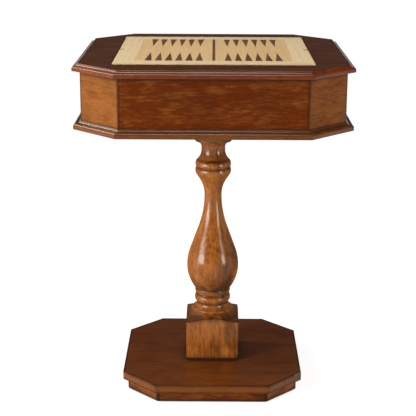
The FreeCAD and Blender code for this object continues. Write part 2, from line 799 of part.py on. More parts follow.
def make_backgammon_side():
    """A veneer field with 24 let-in points, six to a quarter, and a bar down the middle."""
    level = f"{PANEL_LEVEL} + {BOARD_FACE}"
    border_strips("backgammon_border", level)
    edge = f"({FIELD_HALF} - glue_line)"
    quarter = f"({edge} - bar_width / 2)"
    width = f"({quarter} * point_row_share / ({POINT_COUNT - 1} / point_width_share + 1))"
    pitch = f"({width} / point_width_share)"
    first = f"(bar_width / 2 + {quarter} * (1 - point_row_share) / 2 + {width} / 2)"

    def first_point(body, gap):
        half, tip = f"({width} / 2 + {gap})", f"({edge} * (1 - point_length_share) - {gap})"
        corners = [(f"{first} - {half}", edge), (first, tip), (f"{first} + {half}", edge)]
        return add_outline(new_sketch(body, "point_plan", "XY_Plane", "veneer_thickness"), corners)

    def repeat_point(body, point):
        row = row_step(body, "X_Axis", pitch, POINT_COUNT)
        repeat(body, [point], [row, mirror_step(body, "YZ_Plane"), mirror_step(body, "XZ_Plane")])

    field = new_body("backgammon_field", level)
    pad(field, add_outline(new_sketch(field, "plan", "XY_Plane"), square(edge)), "veneer_thickness")
    bar_half, bar_end = "(bar_width / 2 + glue_line)", f"({edge} + cut_overrun)"
    bar_place = rectangle(negative(bar_half), bar_half, negative(bar_end), bar_end)
    bar_cut = add_outline(new_sketch(field, "bar_plan", "XY_Plane", "veneer_thickness"), bar_place)
    pocket(field, bar_cut, "veneer_thickness", "bar_place")
    repeat_point(field, pocket(field, first_point(field, "glue_line"), "veneer_thickness", "point_place"))

    points = new_body("backgammon_points", level)
    point = pad(points, first_point(points, "0"), "veneer_thickness")
    point.Reversed = True
    repeat_point(points, point)

    bar = new_body("backgammon_bar", level)
    bar_half = "(bar_width / 2)"
    bar_plan = rectangle(negative(bar_half), bar_half, negative(edge), edge)
    pad(bar, add_outline(new_sketch(bar, "plan", "XY_Plane"), bar_plan), "veneer_thickness")


def make_chess_side():
    """The other side of the board: squares that alternate, in a border like the first."""
    border_strips("chess_border", PANEL_LEVEL)
    square_side = f"(2 * {FIELD_HALF} / {SQUARE_COUNT})"
    side = f"({square_side} - glue_line)"
    for name, first_column in (("chess_dark_squares", 0), ("chess_light_squares", 1)):
        body = new_body(name, PANEL_LEVEL)
        plan = new_sketch(body, "plan", "XY_Plane")
        for row_number, column in ((0, first_column), (1, 1 - first_column)):
            x = f"({square_side} * {column} - {FIELD_HALF} + glue_line / 2)"
            y = f"({square_side} * {row_number} - {FIELD_HALF} + glue_line / 2)"
            add_outline(plan, rectangle(x, f"{x} + {side}", y, f"{y} + {side}"))
        pair = pad(body, plan, "veneer_thickness")
        spacing, count = f"2 * {square_side}", SQUARE_COUNT // 2
        repeat(body, [pair], [row_step(body, axis, spacing, count) for axis in ("X_Axis", "Y_Axis")])


def make_table():
    make_floor_glides()
    make_plinth()
    make_plinth_blocks()
    make_base_slab()
    make_base_washers()
    make_base_screws()
    make_column()
    make_column_screws()
    make_mounting_plate()
    make_plate_washers()
    make_plate_bolts()
    make_tee_nuts()
    make_box_bottom()
    make_apron()
    make_lower_moulding()
    make_glue_blocks()
    make_top_panel()
    make_top_moulding()
    make_ledges()
    make_ledge_screws()
    make_board_core()
    make_board_lipping()
    make_backgammon_side()
    make_chess_side()


def check_and_export():
    """Writes each sub-part's solids, once every object has come out sound."""
    DOCUMENT.recompute()
    for thing in DOCUMENT.Objects:
        if "Invalid" in thing.State or "Error" in thing.State:
            raise ValueError(f"{thing.Name} is {thing.State}")
    for body in BODIES:
        if body.Shape.isNull() or not body.Shape.isValid() or not body.Shape.Solids:
            raise ValueError(f"{body.Label} has no sound shape")
    os.makedirs("parts", exist_ok=True)
    for body in BODIES:
        body.Shape.exportStep(f"parts/{body.Label}.step")
        print(body.Label, len(body.Shape.Solids), round(body.Shape.Volume))


make_table()
check_and_export()
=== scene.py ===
import math
import random

import bmesh
import bpy
from mathutils import Matrix, Vector


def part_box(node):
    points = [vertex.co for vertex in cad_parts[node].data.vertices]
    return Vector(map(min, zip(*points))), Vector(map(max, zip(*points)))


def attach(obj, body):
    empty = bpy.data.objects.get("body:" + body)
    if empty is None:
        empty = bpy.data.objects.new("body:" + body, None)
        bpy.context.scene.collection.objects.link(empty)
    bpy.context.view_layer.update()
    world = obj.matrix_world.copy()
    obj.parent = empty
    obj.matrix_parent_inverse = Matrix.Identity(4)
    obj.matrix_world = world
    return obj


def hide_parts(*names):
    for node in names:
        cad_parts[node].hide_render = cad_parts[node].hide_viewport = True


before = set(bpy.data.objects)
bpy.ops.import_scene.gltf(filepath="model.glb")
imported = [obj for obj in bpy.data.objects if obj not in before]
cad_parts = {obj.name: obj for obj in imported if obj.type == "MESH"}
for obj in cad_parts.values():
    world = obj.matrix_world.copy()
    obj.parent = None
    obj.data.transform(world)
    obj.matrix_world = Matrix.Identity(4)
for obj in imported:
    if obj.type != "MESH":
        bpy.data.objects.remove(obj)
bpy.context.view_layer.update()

bl_info = {
    "name": "Pedestal Games Table",
    "version": (1, 0, 0),
    "blender": (4, 5, 0),
    "location": "View3D > Sidebar > Games Table",
    "description": "Dresses the frame of a games table with its timber, inlay and hardware",
    "category": "Object",
}

MM = 0.001

SIDES = ("back", "back_left", "left", "front_left", "front", "front_right", "right", "back_right")
SIDE_TURN = math.radians(45)
MITRE = math.tan(math.radians(22.5))
FULL_TURN = 2 * math.pi
ALONG_X = Vector((1, 0, 0))
ALONG_Y = Vector((0, 1, 0))
ALONG_Z = Vector((0, 0, 1))

# Meshes, in metres and radians: what counts as one point, as flat, as an arris and as sharp
SAME_POINT = 0.002 * MM
TREE_SAME_POINT = 0.000005
FLAT_WITHIN = math.radians(0.4)
ARRIS_FROM = math.radians(30)
SHORTEST_ARRIS = 3.0 * MM
SHARP_FROM = math.radians(50)

# Chance in the timber: how far apart pieces are cut, how deep the pith lies, and how it and the tone vary
LOT_REACH = 3.0
PITH_DEPTH = 0.09
PITH_WANDER = 0.02
MOULDING_PITH = (-0.3, -0.25)
TONE_WANDER = 0.12
INLAY_TONE_WANDER = 0.2
TONE_SEED_GAP = 7.0
# The share of each side's tone and painted light and shade that its mouldings take
MOULDING_TONE_SHARE = 0.5

# How near to upright grain has to run before it is measured from the side, not from above
UPRIGHT_GRAIN = 0.9

# Steps and roundings of the outlines, in millimetres, and the sharpest bend that stays as it is
RING_ROUNDING = 0.7
RING_STEP = 2.0
BLOCK_STEP = 6.0
BEND_STEP = 0.4
COVE_STEP = 1.0
MOULDING_ROUNDING = 0.25
CORNER_FROM = math.radians(18)
LONGEST_CUT = 0.45

# Glaze and painted shade in the column's hollows: the bend that starts it and the further bend that fills it,
# in degrees, how far off the bend is read, and the plain margin beside the square blocks, in millimetres
HOLLOW_FROM = 20.0
HOLLOW_SPAN = 45.0
HOLLOW_REACH = 2.5
HOLLOW_MARGIN = 4.0

# The column's mesh: its corners, how much its steps crowd towards them, where the glaze and painted shade on
# its arrises start to fade as a share of their width, and the radius that counts as the axis, in metres
BLANK_CORNERS = 4.0
CORNER_CROWDING = 0.2
ARRIS_FADE_START = 0.4
AXIS_REACH = 0.0001

# The chess side: squares in a row, and the gap that is left out of their width
SQUARES_ACROSS = 8
SQUARE_GAP = 0.1 * MM

# Turned stretches of the column, from the foot block up: rise, end radius, bend and its swell, in millimetres
CLOCKWISE = "clockwise"
ANTICLOCKWISE = "anticlockwise"
TURNED_REACH = 92.3
FOOT_BLOCK_RISE = 96.0
HEAD_BLOCK_RISE = 16.7
TURNED_STRETCHES = (
    (18.5, 48.5, CLOCKWISE, 3.2),
    (4.0, 46.0, ANTICLOCKWISE, 0.9),
    (11.5, 38.3, CLOCKWISE),
    (2.5, 38.3),
    (18.5, 39.6, ANTICLOCKWISE, 4.0),
    (3.0, 39.6, ANTICLOCKWISE, 1.1),
    (12.5, 41.5, ANTICLOCKWISE, 1.6),
    (57.5, 61.5, ANTICLOCKWISE),
    (40.4, 54.4, ANTICLOCKWISE),
    (55.4, 34.3),
    (79.2, 20.3, CLOCKWISE),
    (36.3, 30.8, CLOCKWISE),
    (15.2, 40.5),
    (15.5, 40.0, ANTICLOCKWISE, 1.95),
    (16.0, 39.8, ANTICLOCKWISE, 2.0),
    (25.5, 27.9, CLOCKWISE),
    (5.5, 27.9),
    (16.0, 43.0, CLOCKWISE),
    (4.5, 43.0),
    (28.5, TURNED_REACH, CLOCKWISE, 3.2),
)

# Where the column is darkened, as stain pooled in its grooves and as painted shade under its bulb and up
# its neck under the box: height above its foot, half height and strength
STAIN_AND_SHADE_POOLS = (
    (104.0, 14.0, 0.85),
    (131.0, 4.5, 1.0),
    (152.5, 4.5, 1.0),
    (168.0, 10.0, 1.0),
    (176.0, 18.0, 0.6),
    (466.0, 6.0, 1.0),
    (484.5, 7.0, 1.0),
    (500.0, 26.0, 0.7),
    (531.5, 7.0, 0.9),
    (548.0, 24.0, 0.7),
)

# Mouldings, in millimetres: the cove's arris, hollow, riser and shelf, and the lip under it
TOP_MOULDING = {
    "inner": 3.8,
    "reach": 16.4,
    "height": 16.2,
    "arris": 1.8,
    "hollow": 1.2,
    "riser": 0.8,
    "shelf": 0.8,
    "lip": 9.8,
    "lip_round": 4.0,
    "foot_round": 1.2,
}
LOWER_MOULDING = {
    "inner": 0.0,
    "reach": 16.4,
    "height": 18.0,
    "arris": 2.2,
    "hollow": 1.6,
    "riser": 0.9,
    "shelf": 0.9,
    "lip": 12.2,
    "lip_round": 5.0,
    "foot_round": 1.2,
}

# How light or dark each side's boards are: partly their own tone, partly painted light and shade,
# the front_left lighter and the front darker as the lamps fall on them
SIDE_TONES_AND_LIGHT = {
    "back": -0.2,
    "back_left": -0.1,
    "left": -0.2,
    "front_left": 0.35,
    "front": -0.38,
    "front_right": 0.1,
    "right": -0.1,
    "back_right": -0.25,
}


# Node trees


def place(tree, kind, inputs=None, **settings):
    """A new node with its settings, and with a link or a value for each input that is given."""
    made = tree.nodes.new(kind)
    for name, value in settings.items():
        setattr(made, name, value)
    for socket, value in (inputs or {}).items():
        if isinstance(value, bpy.types.NodeSocket):
            tree.links.new(value, made.inputs[socket])
        else:
            made.inputs[socket].default_value = value
    return made


def result(tree, kind, inputs=None, output=0, **settings):
    """One output of a new node."""
    return place(tree, kind, inputs, **settings).outputs[output]


def calc(tree, operation, *values):
    """The result of a sum on numbers."""
    return result(tree, "ShaderNodeMath", dict(enumerate(values)), operation=operation)


def plus(tree, *values):
    return calc(tree, "ADD", *values)


def minus(tree, *values):
    return calc(tree, "SUBTRACT", *values)


def times(tree, *values):
    return calc(tree, "MULTIPLY", *values)


def vector_calc(tree, operation, *values):
    """The result of a sum on vectors."""
    return result(tree, "ShaderNodeVectorMath", dict(enumerate(values)), operation=operation)


def combine(tree, *values):
    """A vector made of three numbers."""
    return result(tree, "ShaderNodeCombineXYZ", dict(enumerate(values)))


def separate(tree, vector):
    """The three numbers of a vector, as X, Y and Z."""
    return place(tree, "ShaderNodeSeparateXYZ", {0: vector}).outputs


def spread(tree, value, low, high, low_out=0.0, high_out=1.0, kind="SMOOTHSTEP"):
    """Stretches the values between low and high over another range; the ends ease unless LINEAR."""
    inputs = {"Value": value, "From Min": low, "From Max": high, "To Min": low_out, "To Max": high_out}
    return result(tree, "ShaderNodeMapRange", inputs, "Result", interpolation_type=kind)


def new_geometry_tree(name, inputs):
    """A Geometry Nodes tree with named inputs, given as name, kind and default."""
    tree = bpy.data.node_groups.new(name, "GeometryNodeTree")
    tree.interface.new_socket("Geometry", in_out="OUTPUT", socket_type="NodeSocketGeometry")
    for label, kind, default in inputs:
        socket = tree.interface.new_socket(label, in_out="INPUT", socket_type=f"NodeSocket{kind}")
        if default is not None:
            socket.default_value = default
    return tree, place(tree, "NodeGroupInput").outputs


def finish_tree(tree, geometry, material):
    """Ends a tree in real geometry of one material."""
    real = result(tree, "GeometryNodeRealizeInstances", {"Geometry": geometry})
    finished = result(tree, "GeometryNodeSetMaterial", {"Geometry": real, "Material": material})
    place(tree, "NodeGroupOutput", {"Geometry": finished})


def store(tree, geometry, name, kind, value, domain="POINT"):
    """Keeps a value on the geometry under a name."""
    inputs = {"Geometry": geometry, "Name": name, "Value": value}
    return result(tree, "GeometryNodeStoreNamedAttribute", inputs, data_type=kind, domain=domain)


def object_shape(tree, source):
    """The geometry of an object that a tree is given."""
    inputs = {"Object": source}
    return result(tree, "GeometryNodeObjectInfo", inputs, "Geometry", transform_space="ORIGINAL")


def position_of(tree):
    """Where each point of the geometry is."""
    return result(tree, "GeometryNodeInputPosition")


def index_of(tree):
    """The number of each point of the geometry."""
    return result(tree, "GeometryNodeInputIndex")


def join(tree, *shapes):
    """Several shapes as one."""
    made = place(tree, "GeometryNodeJoinGeometry")
    for shape in shapes:
        tree.links.new(shape, made.inputs["Geometry"])
    return made.outputs["Geometry"]


def merge_points(tree, geometry):
    """The geometry with doubled points made one."""
    inputs = {"Geometry": geometry, "Distance": TREE_SAME_POINT}
    return result(tree, "GeometryNodeMergeByDistance", inputs)


def put_out(tree, points, piece, **inputs):
    """A piece put on every point."""
    inputs = {"Points": points, "Instance": object_shape(tree, piece), **inputs}
    return result(tree, "GeometryNodeInstanceOnPoints", inputs)


def chance_number(tree, low, high, seed):
    """A number by chance between two others, for each piece."""
    return result(tree, "FunctionNodeRandomValue", {2: low, 3: high, "Seed": seed}, 1, data_type="FLOAT")


def run_tree(tree, name, values):
    """The plain mesh that a tree makes from these inputs, as a new object."""
    carrier = bpy.data.objects.new(f"{name}_maker", bpy.data.meshes.new(f"{name}_maker"))
    bpy.context.scene.collection.objects.link(carrier)
    modifier = carrier.modifiers.new("maker", "NODES")
    modifier.node_group = tree
    for item in tree.interface.items_tree:
        if item.in_out == "INPUT" and item.name in values:
            modifier[item.identifier] = values[item.name]
    bpy.context.view_layer.update()
    graph = bpy.context.evaluated_depsgraph_get()
    mesh = bpy.data.meshes.new_from_object(carrier.evaluated_get(graph), depsgraph=graph)
    bpy.data.objects.remove(carrier)
    mesh.name = name
    return new_object(name, mesh)


# Objects


def new_object(name, mesh):
    """A new piece in the scene."""
    piece = bpy.data.objects.new(name, mesh)
    bpy.context.scene.collection.objects.link(piece)
    return piece


def pattern_object(name, points, closed):
    """A line of points that a tree reads, and that isn't itself kept in the scene."""
    curve = bpy.data.curves.new(name, "CURVE")
    curve.dimensions = "3D"
    spline = curve.splines.new("POLY")
    spline.points.add(len(points) - 1)
    for point, spot in zip(spline.points, points):
        point.co = (*spot, 1.0)
    spline.use_cyclic_u = closed
    return bpy.data.objects.new(name, curve)


def weigh_normals(piece):
    """Flat faces shade flat beside their rounded edges."""
    piece.modifiers.new("flat faces", "WEIGHTED_NORMAL").keep_sharp = True


def settle(piece, body, slot, *nodes):
    """Puts a piece on its body and in its nodes' place."""
    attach(piece, body)
    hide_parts(*nodes)
    return piece


def merged_copy(node):
    """A copy of a node's mesh with whole flat faces instead of loose triangles."""
    shape = bmesh.new()
    shape.from_mesh(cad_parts[node].data)
    bmesh.ops.remove_doubles(shape, verts=shape.verts, dist=SAME_POINT)
    bmesh.ops.dissolve_limit(shape, angle_limit=FLAT_WITHIN, verts=shape.verts, edges=shape.edges)
    return shape


def islands(shape):
    """The vertices of each separate solid."""
    left = set(shape.verts)
    found = []
    while left:
        stack = [left.pop()]
        island = []
        while stack:
            vertex = stack.pop()
            island.append(vertex)
            for edge in vertex.link_edges:
                other = edge.other_vert(vertex)
                if other in left:
                    left.discard(other)
                    stack.append(other)
        found.append(island)
    found.sort(key=lambda island: tuple(round(x, 5) for x in min(tuple(v.co) for v in island)))
    return found


def ease_edges(shape, easing, shortest=SHORTEST_ARRIS):
    """Rounds the arrises of a solid, apart from the short edges of its bores."""
    arrises = []
    for edge in shape.edges:
        is_arris = edge.is_manifold and edge.calc_face_angle_signed(0.0) > ARRIS_FROM
        if is_arris and edge.calc_length() > shortest:
            arrises.append(edge)
    if arrises and easing > 0:
        bmesh.ops.bevel(
            shape,
            geom=arrises,
            offset=easing,
            offset_type="OFFSET",
            segments=2,
            profile=0.5,
            affect="EDGES",
            clamp_overlap=True,
        )
    for face in shape.faces:
        face.smooth = True
    for edge in shape.edges:
        if edge.is_manifold and edge.calc_face_angle(0.0) > SHARP_FROM:
            edge.smooth = False


def longest_way(island):
    """The axis that a solid is longest along."""
    spans = [max(v.co[i] for v in island) - min(v.co[i] for v in island) for i in range(3)]
    way = Vector((0, 0, 0))
    way[spans.index(max(spans))] = 1.0
    return way


def lay_grain(shape, seed, along=None, tone=None):
    """Gives each solid its own grain: places along, across and through it from the pith, and its tone."""
    grain = shape.verts.layers.float_vector.new("grain")
    tones = shape.verts.layers.float.new("tone")
    chance = random.Random(seed)
    for island in islands(shape):
        way = (along or longest_way(island)).normalized()
        up = ALONG_Z if abs(way.z) < UPRIGHT_GRAIN else ALONG_Y
        out = up.cross(way).normalized()
        middle = sum((vertex.co for vertex in island), Vector()) / len(island)
        start = chance.uniform(-LOT_REACH, LOT_REACH)
        shift = Vector((start, chance.uniform(-PITH_WANDER, PITH_WANDER), PITH_DEPTH))
        own_tone = chance.uniform(-TONE_WANDER, TONE_WANDER) if tone is None else tone
        for vertex in island:
            spot = vertex.co - middle
            vertex[grain] = Vector((spot.dot(way), spot.dot(up), spot.dot(out))) + shift
            vertex[tones] = own_tone


def timber(node, slot, easing, along=None, tone=None, body="table"):
    """An eased copy of a CAD node, with its grain laid along it."""
    shape = merged_copy(node)
    ease_edges(shape, easing)
    lay_grain(shape, node, along, tone)
    mesh = bpy.data.meshes.new(f"{node}_timber")
    shape.to_mesh(mesh)
    shape.free()
    piece = new_object(f"{node}_timber", mesh)
    piece.data.materials.append(finish_of(slot))
    weigh_normals(piece)
    return settle(piece, body, slot, node)


def side_way(side):
    """The direction along one of the eight sides."""
    turn = SIDES.index(side) * SIDE_TURN
    return Vector((math.cos(turn), math.sin(turn), 0))


# Outlines


def bend_points(start, end, turn, swell, step):
    """Points between two places along the shorter arc that turns that way, with the end."""
    a, b = Vector(start), Vector(end)
    chord = b - a
    if swell:
        radius = chord.length_squared / (8 * swell) + swell / 2
    else:
        radius = chord.length_squared / (2 * abs(chord.x))
    left = Vector((-chord.y, chord.x)).normalized()
    inwards = left if turn == ANTICLOCKWISE else -left
    centre = (a + b) / 2 + inwards * math.sqrt(max(radius**2 - chord.length_squared / 4, 0.0))
    first = math.atan2(a.y - centre.y, a.x - centre.x)
    last = math.atan2(b.y - centre.y, b.x - centre.x)
    sweep = (last - first + math.pi) % FULL_TURN - math.pi
    count = max(2, math.ceil(abs(sweep) * radius / step))
    angles = [first + sweep * i / count for i in range(1, count)]
    return [(centre.x + radius * math.cos(g), centre.y + radius * math.sin(g)) for g in angles] + [tuple(b)]


def divided(points, longest):
    """The same line with long straight runs cut into shorter ones."""
    line = [points[0]]
    for end in points[1:]:
        start = line[-1]
        count = max(1, math.ceil(math.dist(start, end) / longest))
        for i in range(1, count + 1):
            line.append(tuple(s + (e - s) * i / count for s, e in zip(start, end)))
    return line


def rounded(points, radius, closed=False):
    """The same line with its sharp corners rounded."""
    line = []
    count = len(points)
    for i, point in enumerate(points):
        if not closed and i in (0, count - 1):
            line.append(point)
            continue
        here = Vector(point)
        before = Vector(points[i - 1]) - here
        after = Vector(points[(i + 1) % count]) - here
        bend = math.pi - before.angle(after)
        if bend < CORNER_FROM:
            line.append(point)
            continue
        cut = min(radius * math.tan(bend / 2), LONGEST_CUT * before.length, LONGEST_CUT * after.length)
        first = here + before.normalized() * cut
        last = here + after.normalized() * cut
        middle = (first + last) * 0.25 + here * 0.5
        line += [tuple(first), tuple(middle), tuple(last)]
    return line


def column_outline():
    """Radius and height of the turning, from the axis at the foot to the axis at the head, in millimetres."""
    level = FOOT_BLOCK_RISE
    line = [(TURNED_REACH, level)]
    for rise, radius, *bend in TURNED_STRETCHES:
        level += rise
        if bend:
            turn, swell = bend[0], (bend[1] if len(bend) > 1 else None)
            line += bend_points(line[-1], (radius, level), turn, swell, RING_STEP)
        else:
            line.append((radius, level))
    top = level + HEAD_BLOCK_RISE
    line = divided(rounded(line, RING_ROUNDING), RING_STEP)
    foot = divided([(0.0, 0.0), (TURNED_REACH, 0.0), line[0]], BLOCK_STEP)
    head = divided([line[-1], (TURNED_REACH, top), (0.0, top)], BLOCK_STEP)
    return foot[:-1] + line + head[1:]


def pooled_stain(line):
    """How dark each point of an outline is painted with glaze and shade: in its tight hollows and its pools.
    """
    lowest = FOOT_BLOCK_RISE + HOLLOW_MARGIN
    highest = line[-1][1] - HEAD_BLOCK_RISE - HOLLOW_MARGIN
    shares = []
    for i, (radius, height) in enumerate(line):
        share = 0.0
        for middle, half, strength in STAIN_AND_SHADE_POOLS:
            share = max(share, strength * (1.0 - min(abs(height - middle) / half, 1.0)))
        if 0 < i < len(line) - 1 and lowest < height < highest:
            below = next((p for p in reversed(line[:i]) if math.dist(p, line[i]) > HOLLOW_REACH), line[0])
            above = next((p for p in line[i + 1:] if math.dist(p, line[i]) > HOLLOW_REACH), line[-1])
            before = math.atan2(height - below[1], radius - below[0])
            after = math.atan2(above[1] - height, above[0] - radius)
            hollow = (before - after + math.pi) % FULL_TURN - math.pi
            share = max(share, min(max((math.degrees(hollow) - HOLLOW_FROM) / HOLLOW_SPAN, 0.0), 1.0))
        shares.append(share)
    return shares


def moulding_outline(sizes):
    """Outline of a moulding: outwards from the apron's face, and up, in millimetres."""
    inner, reach, height, lip = (sizes[name] for name in ("inner", "reach", "height", "lip"))
    lip_start = reach - sizes["lip_round"]
    shelf_start = lip_start - sizes["shelf"]
    line = [(inner, height)]
    arris = sizes["arris"]
    line += bend_points(line[-1], (inner + arris, height - arris), CLOCKWISE, None, BEND_STEP)
    cove_end = (shelf_start, lip + sizes["riser"])
    line += bend_points(line[-1], cove_end, ANTICLOCKWISE, sizes["hollow"], COVE_STEP)
    line += [(shelf_start, lip), (lip_start, lip)]
    line += bend_points(line[-1], (reach, lip - sizes["lip_round"]), CLOCKWISE, None, BEND_STEP)
    line.append((reach, sizes["foot_round"]))
    line += bend_points(line[-1], (reach - sizes["foot_round"], 0.0), CLOCKWISE, None, BEND_STEP)
    line.append((inner, 0.0))
    return rounded(line, MOULDING_ROUNDING, closed=True)


# Trees


def column_tree():
    """A turning out of a square blank: the smaller of the turned and the square radius."""
    tree, given = new_geometry_tree(
        "Turned Column",
        (
            ("Outline", "Object", None),
            ("Blank Half Width", "Float", 0.0624),
            ("Corner Sharpness", "Float", 120.0),
            ("Shoulder Easing", "Float", 0.001),
            ("Steps Around", "Int", 160),
            ("Level", "Float", 0.046),
            ("Pith", "Vector", (0.31, 0.006, 0.073)),
            ("Arris Width", "Float", 0.007),
            ("Bulb Middle", "Float", 0.3),
            ("Bulb Half Height", "Float", 0.16),
            ("Material", "Material", None),
        ),
    )
    outline = result(tree, "GeometryNodeCurveToMesh", {"Curve": object_shape(tree, given["Outline"])})
    rows = result(tree, "GeometryNodeAttributeDomainSize", {"Geometry": outline}, "Point Count")
    around = given["Steps Around"]
    index, position = index_of(tree), position_of(tree)
    step = calc(tree, "FLOOR", calc(tree, "DIVIDE", plus(tree, index, 0.5), rows))
    even = times(tree, calc(tree, "DIVIDE", step, around), FULL_TURN)
    crowding = times(tree, calc(tree, "SINE", times(tree, even, BLANK_CORNERS)), CORNER_CROWDING)
    angle = plus(tree, even, crowding)
    reading = {"Geometry": outline, "Value": position, "Index": calc(tree, "FLOORED_MODULO", index, rows)}
    turned = separate(tree, result(tree, "GeometryNodeSampleIndex", reading, data_type="FLOAT_VECTOR"))

    cosine, sine = calc(tree, "COSINE", angle), calc(tree, "SINE", angle)
    sharpness = given["Corner Sharpness"]
    powers = [calc(tree, "POWER", calc(tree, "ABSOLUTE", side), sharpness) for side in (cosine, sine)]
    corner = calc(tree, "POWER", plus(tree, *powers), calc(tree, "DIVIDE", -1.0, sharpness))
    square = times(tree, corner, given["Blank Half Width"])
    radius = calc(tree, "SMOOTH_MIN", turned["X"], square, given["Shoulder Easing"])
    radius = calc(tree, "MAXIMUM", calc(tree, "MINIMUM", radius, square), 0.0)
    radius = times(tree, radius, calc(tree, "GREATER_THAN", turned["X"], AXIS_REACH))
    height = plus(tree, turned["Z"], given["Level"])
    spot = combine(tree, times(tree, radius, cosine), times(tree, radius, sine), height)

    # Painted shade and glaze: a dark line along the shoulder arrises, off the bulb, with the outline's
    # hollows and pools
    width = given["Arris Width"]
    shoulder = calc(tree, "ABSOLUTE", minus(tree, turned["X"], square))
    arris = spread(tree, shoulder, times(tree, width, ARRIS_FADE_START), width, 1.0, 0.0, "LINEAR")
    from_bulb = calc(tree, "ABSOLUTE", minus(tree, turned["Z"], given["Bulb Middle"]))
    arris = times(tree, arris, calc(tree, "GREATER_THAN", from_bulb, given["Bulb Half Height"]))
    pooled = calc(tree, "MAXIMUM", times(tree, turned["Y"], 1.0 / MM), arris)

    shape = result(tree, "GeometryNodeMeshGrid", {"Vertices X": plus(tree, around, 1.0), "Vertices Y": rows})
    shape = store(tree, shape, "glaze", "FLOAT", pooled)
    shape = result(tree, "GeometryNodeSetPosition", {"Geometry": shape, "Position": spot})
    shape = merge_points(tree, shape)
    here = separate(tree, position)
    laid = combine(tree, here["Z"], here["X"], here["Y"])
    shape = store(tree, shape, "grain", "FLOAT_VECTOR", vector_calc(tree, "SUBTRACT", laid, given["Pith"]))
    shape = store(tree, shape, "tone", "FLOAT", 0.0)
    shape = result(tree, "GeometryNodeSetShadeSmooth", {"Geometry": shape})
    finish_tree(tree, shape, given["Material"])
    return tree


def moulding_tree():
    """One mitred length of moulding: an outline drawn out along a side, each end cut on the mitre."""
    tree, given = new_geometry_tree(
        "Mitred Moulding",
        (
            ("Outline", "Object", None),
            ("Side Distance", "Float", 0.2856),
            ("Half Length", "Float", 0.198),
            ("Mitre Slope", "Float", MITRE),
            ("Level", "Float", 0.0),
            ("Side Turn", "Float", 0.0),
            ("Grain Shift", "Vector", (0.0, 0.0, 0.0)),
            ("Tone", "Float", 0.0),
            ("Material", "Material", None),
        ),
    )
    outline = {"Curve": object_shape(tree, given["Outline"])}
    filled = result(tree, "GeometryNodeFillCurve", outline, mode="NGONS")
    drawing = {"Mesh": filled, "Individual": False, "Offset": (0.0, 0.0, 1.0), "Offset Scale": 1.0}
    drawn = result(tree, "GeometryNodeExtrudeMesh", drawing, mode="FACES")
    shape = merge_points(tree, join(tree, drawn, result(tree, "GeometryNodeFlipFaces", {"Mesh": filled})))
    position = position_of(tree)
    here = separate(tree, position)
    half = plus(tree, given["Half Length"], times(tree, here["X"], given["Mitre Slope"]))
    along = times(tree, minus(tree, times(tree, here["Z"], 2.0), 1.0), half)
    outwards = plus(tree, here["X"], given["Side Distance"])
    spot = combine(tree, along, outwards, plus(tree, here["Y"], given["Level"]))
    shape = result(tree, "GeometryNodeSetPosition", {"Geometry": shape, "Position": spot})
    laid = vector_calc(tree, "ADD", position, given["Grain Shift"])
    shape = store(tree, shape, "grain", "FLOAT_VECTOR", laid)
    shape = store(tree, shape, "tone", "FLOAT", given["Tone"])
    turn = combine(tree, 0.0, 0.0, given["Side Turn"])
    shape = result(tree, "GeometryNodeTransform", {"Geometry": shape, "Rotation": turn})
    shape = result(tree, "GeometryNodeSetShadeSmooth", {"Geometry": shape}, domain="FACE")
    bend = result(tree, "GeometryNodeInputMeshEdgeAngle", None, "Unsigned Angle")
    bent = calc(tree, "GREATER_THAN", bend, SHARP_FROM)
    sharp = {"Geometry": shape, "Selection": bent, "Shade Smooth": False}
    shape = result(tree, "GeometryNodeSetShadeSmooth", sharp, domain="EDGE")
    finish_tree(tree, shape, given["Material"])
    return tree


def set_out_tree():
    """Like pieces set out at given places, each turned a little by chance."""
    tree, given = new_geometry_tree(
        "Pieces Set Out",
        (
            ("Piece", "Object", None),
            ("Places", "Object", None),
            ("Most Turn", "Float", 0.0),
            ("Seed", "Int", 1),
            ("Material", "Material", None),
        ),
    )
    turn = combine(tree, 0.0, 0.0, chance_number(tree, 0.0, given["Most Turn"], given["Seed"]))
    places = object_shape(tree, given["Places"])
    finish_tree(tree, put_out(tree, places, given["Piece"], Rotation=turn), given["Material"])
    return tree


def random_lots(tree, pieces, seed):
    """Gives each piece that is put out its own place in the timber and its own tone."""
    reach = {0: (-LOT_REACH,) * 3, 1: (LOT_REACH,) * 3, "Seed": seed}
    shift = result(tree, "FunctionNodeRandomValue", reach, data_type="FLOAT_VECTOR")
    pieces = store(tree, pieces, "lot", "FLOAT_VECTOR", shift, "INSTANCE")
    tone = chance_number(tree, -INLAY_TONE_WANDER, INLAY_TONE_WANDER, plus(tree, seed, TONE_SEED_GAP))
    return store(tree, pieces, "tone", "FLOAT", tone, "INSTANCE")


def lay_lots(tree, pieces):
    """Real geometry whose grain starts at its own lot's place."""
    real = result(tree, "GeometryNodeRealizeInstances", {"Geometry": pieces})
    lot = result(tree, "GeometryNodeInputNamedAttribute", {"Name": "lot"}, data_type="FLOAT_VECTOR")
    here = separate(tree, position_of(tree))
    grain = vector_calc(tree, "ADD", combine(tree, here["Y"], here["X"], here["Z"]), lot)
    return store(tree, real, "grain", "FLOAT_VECTOR", grain)


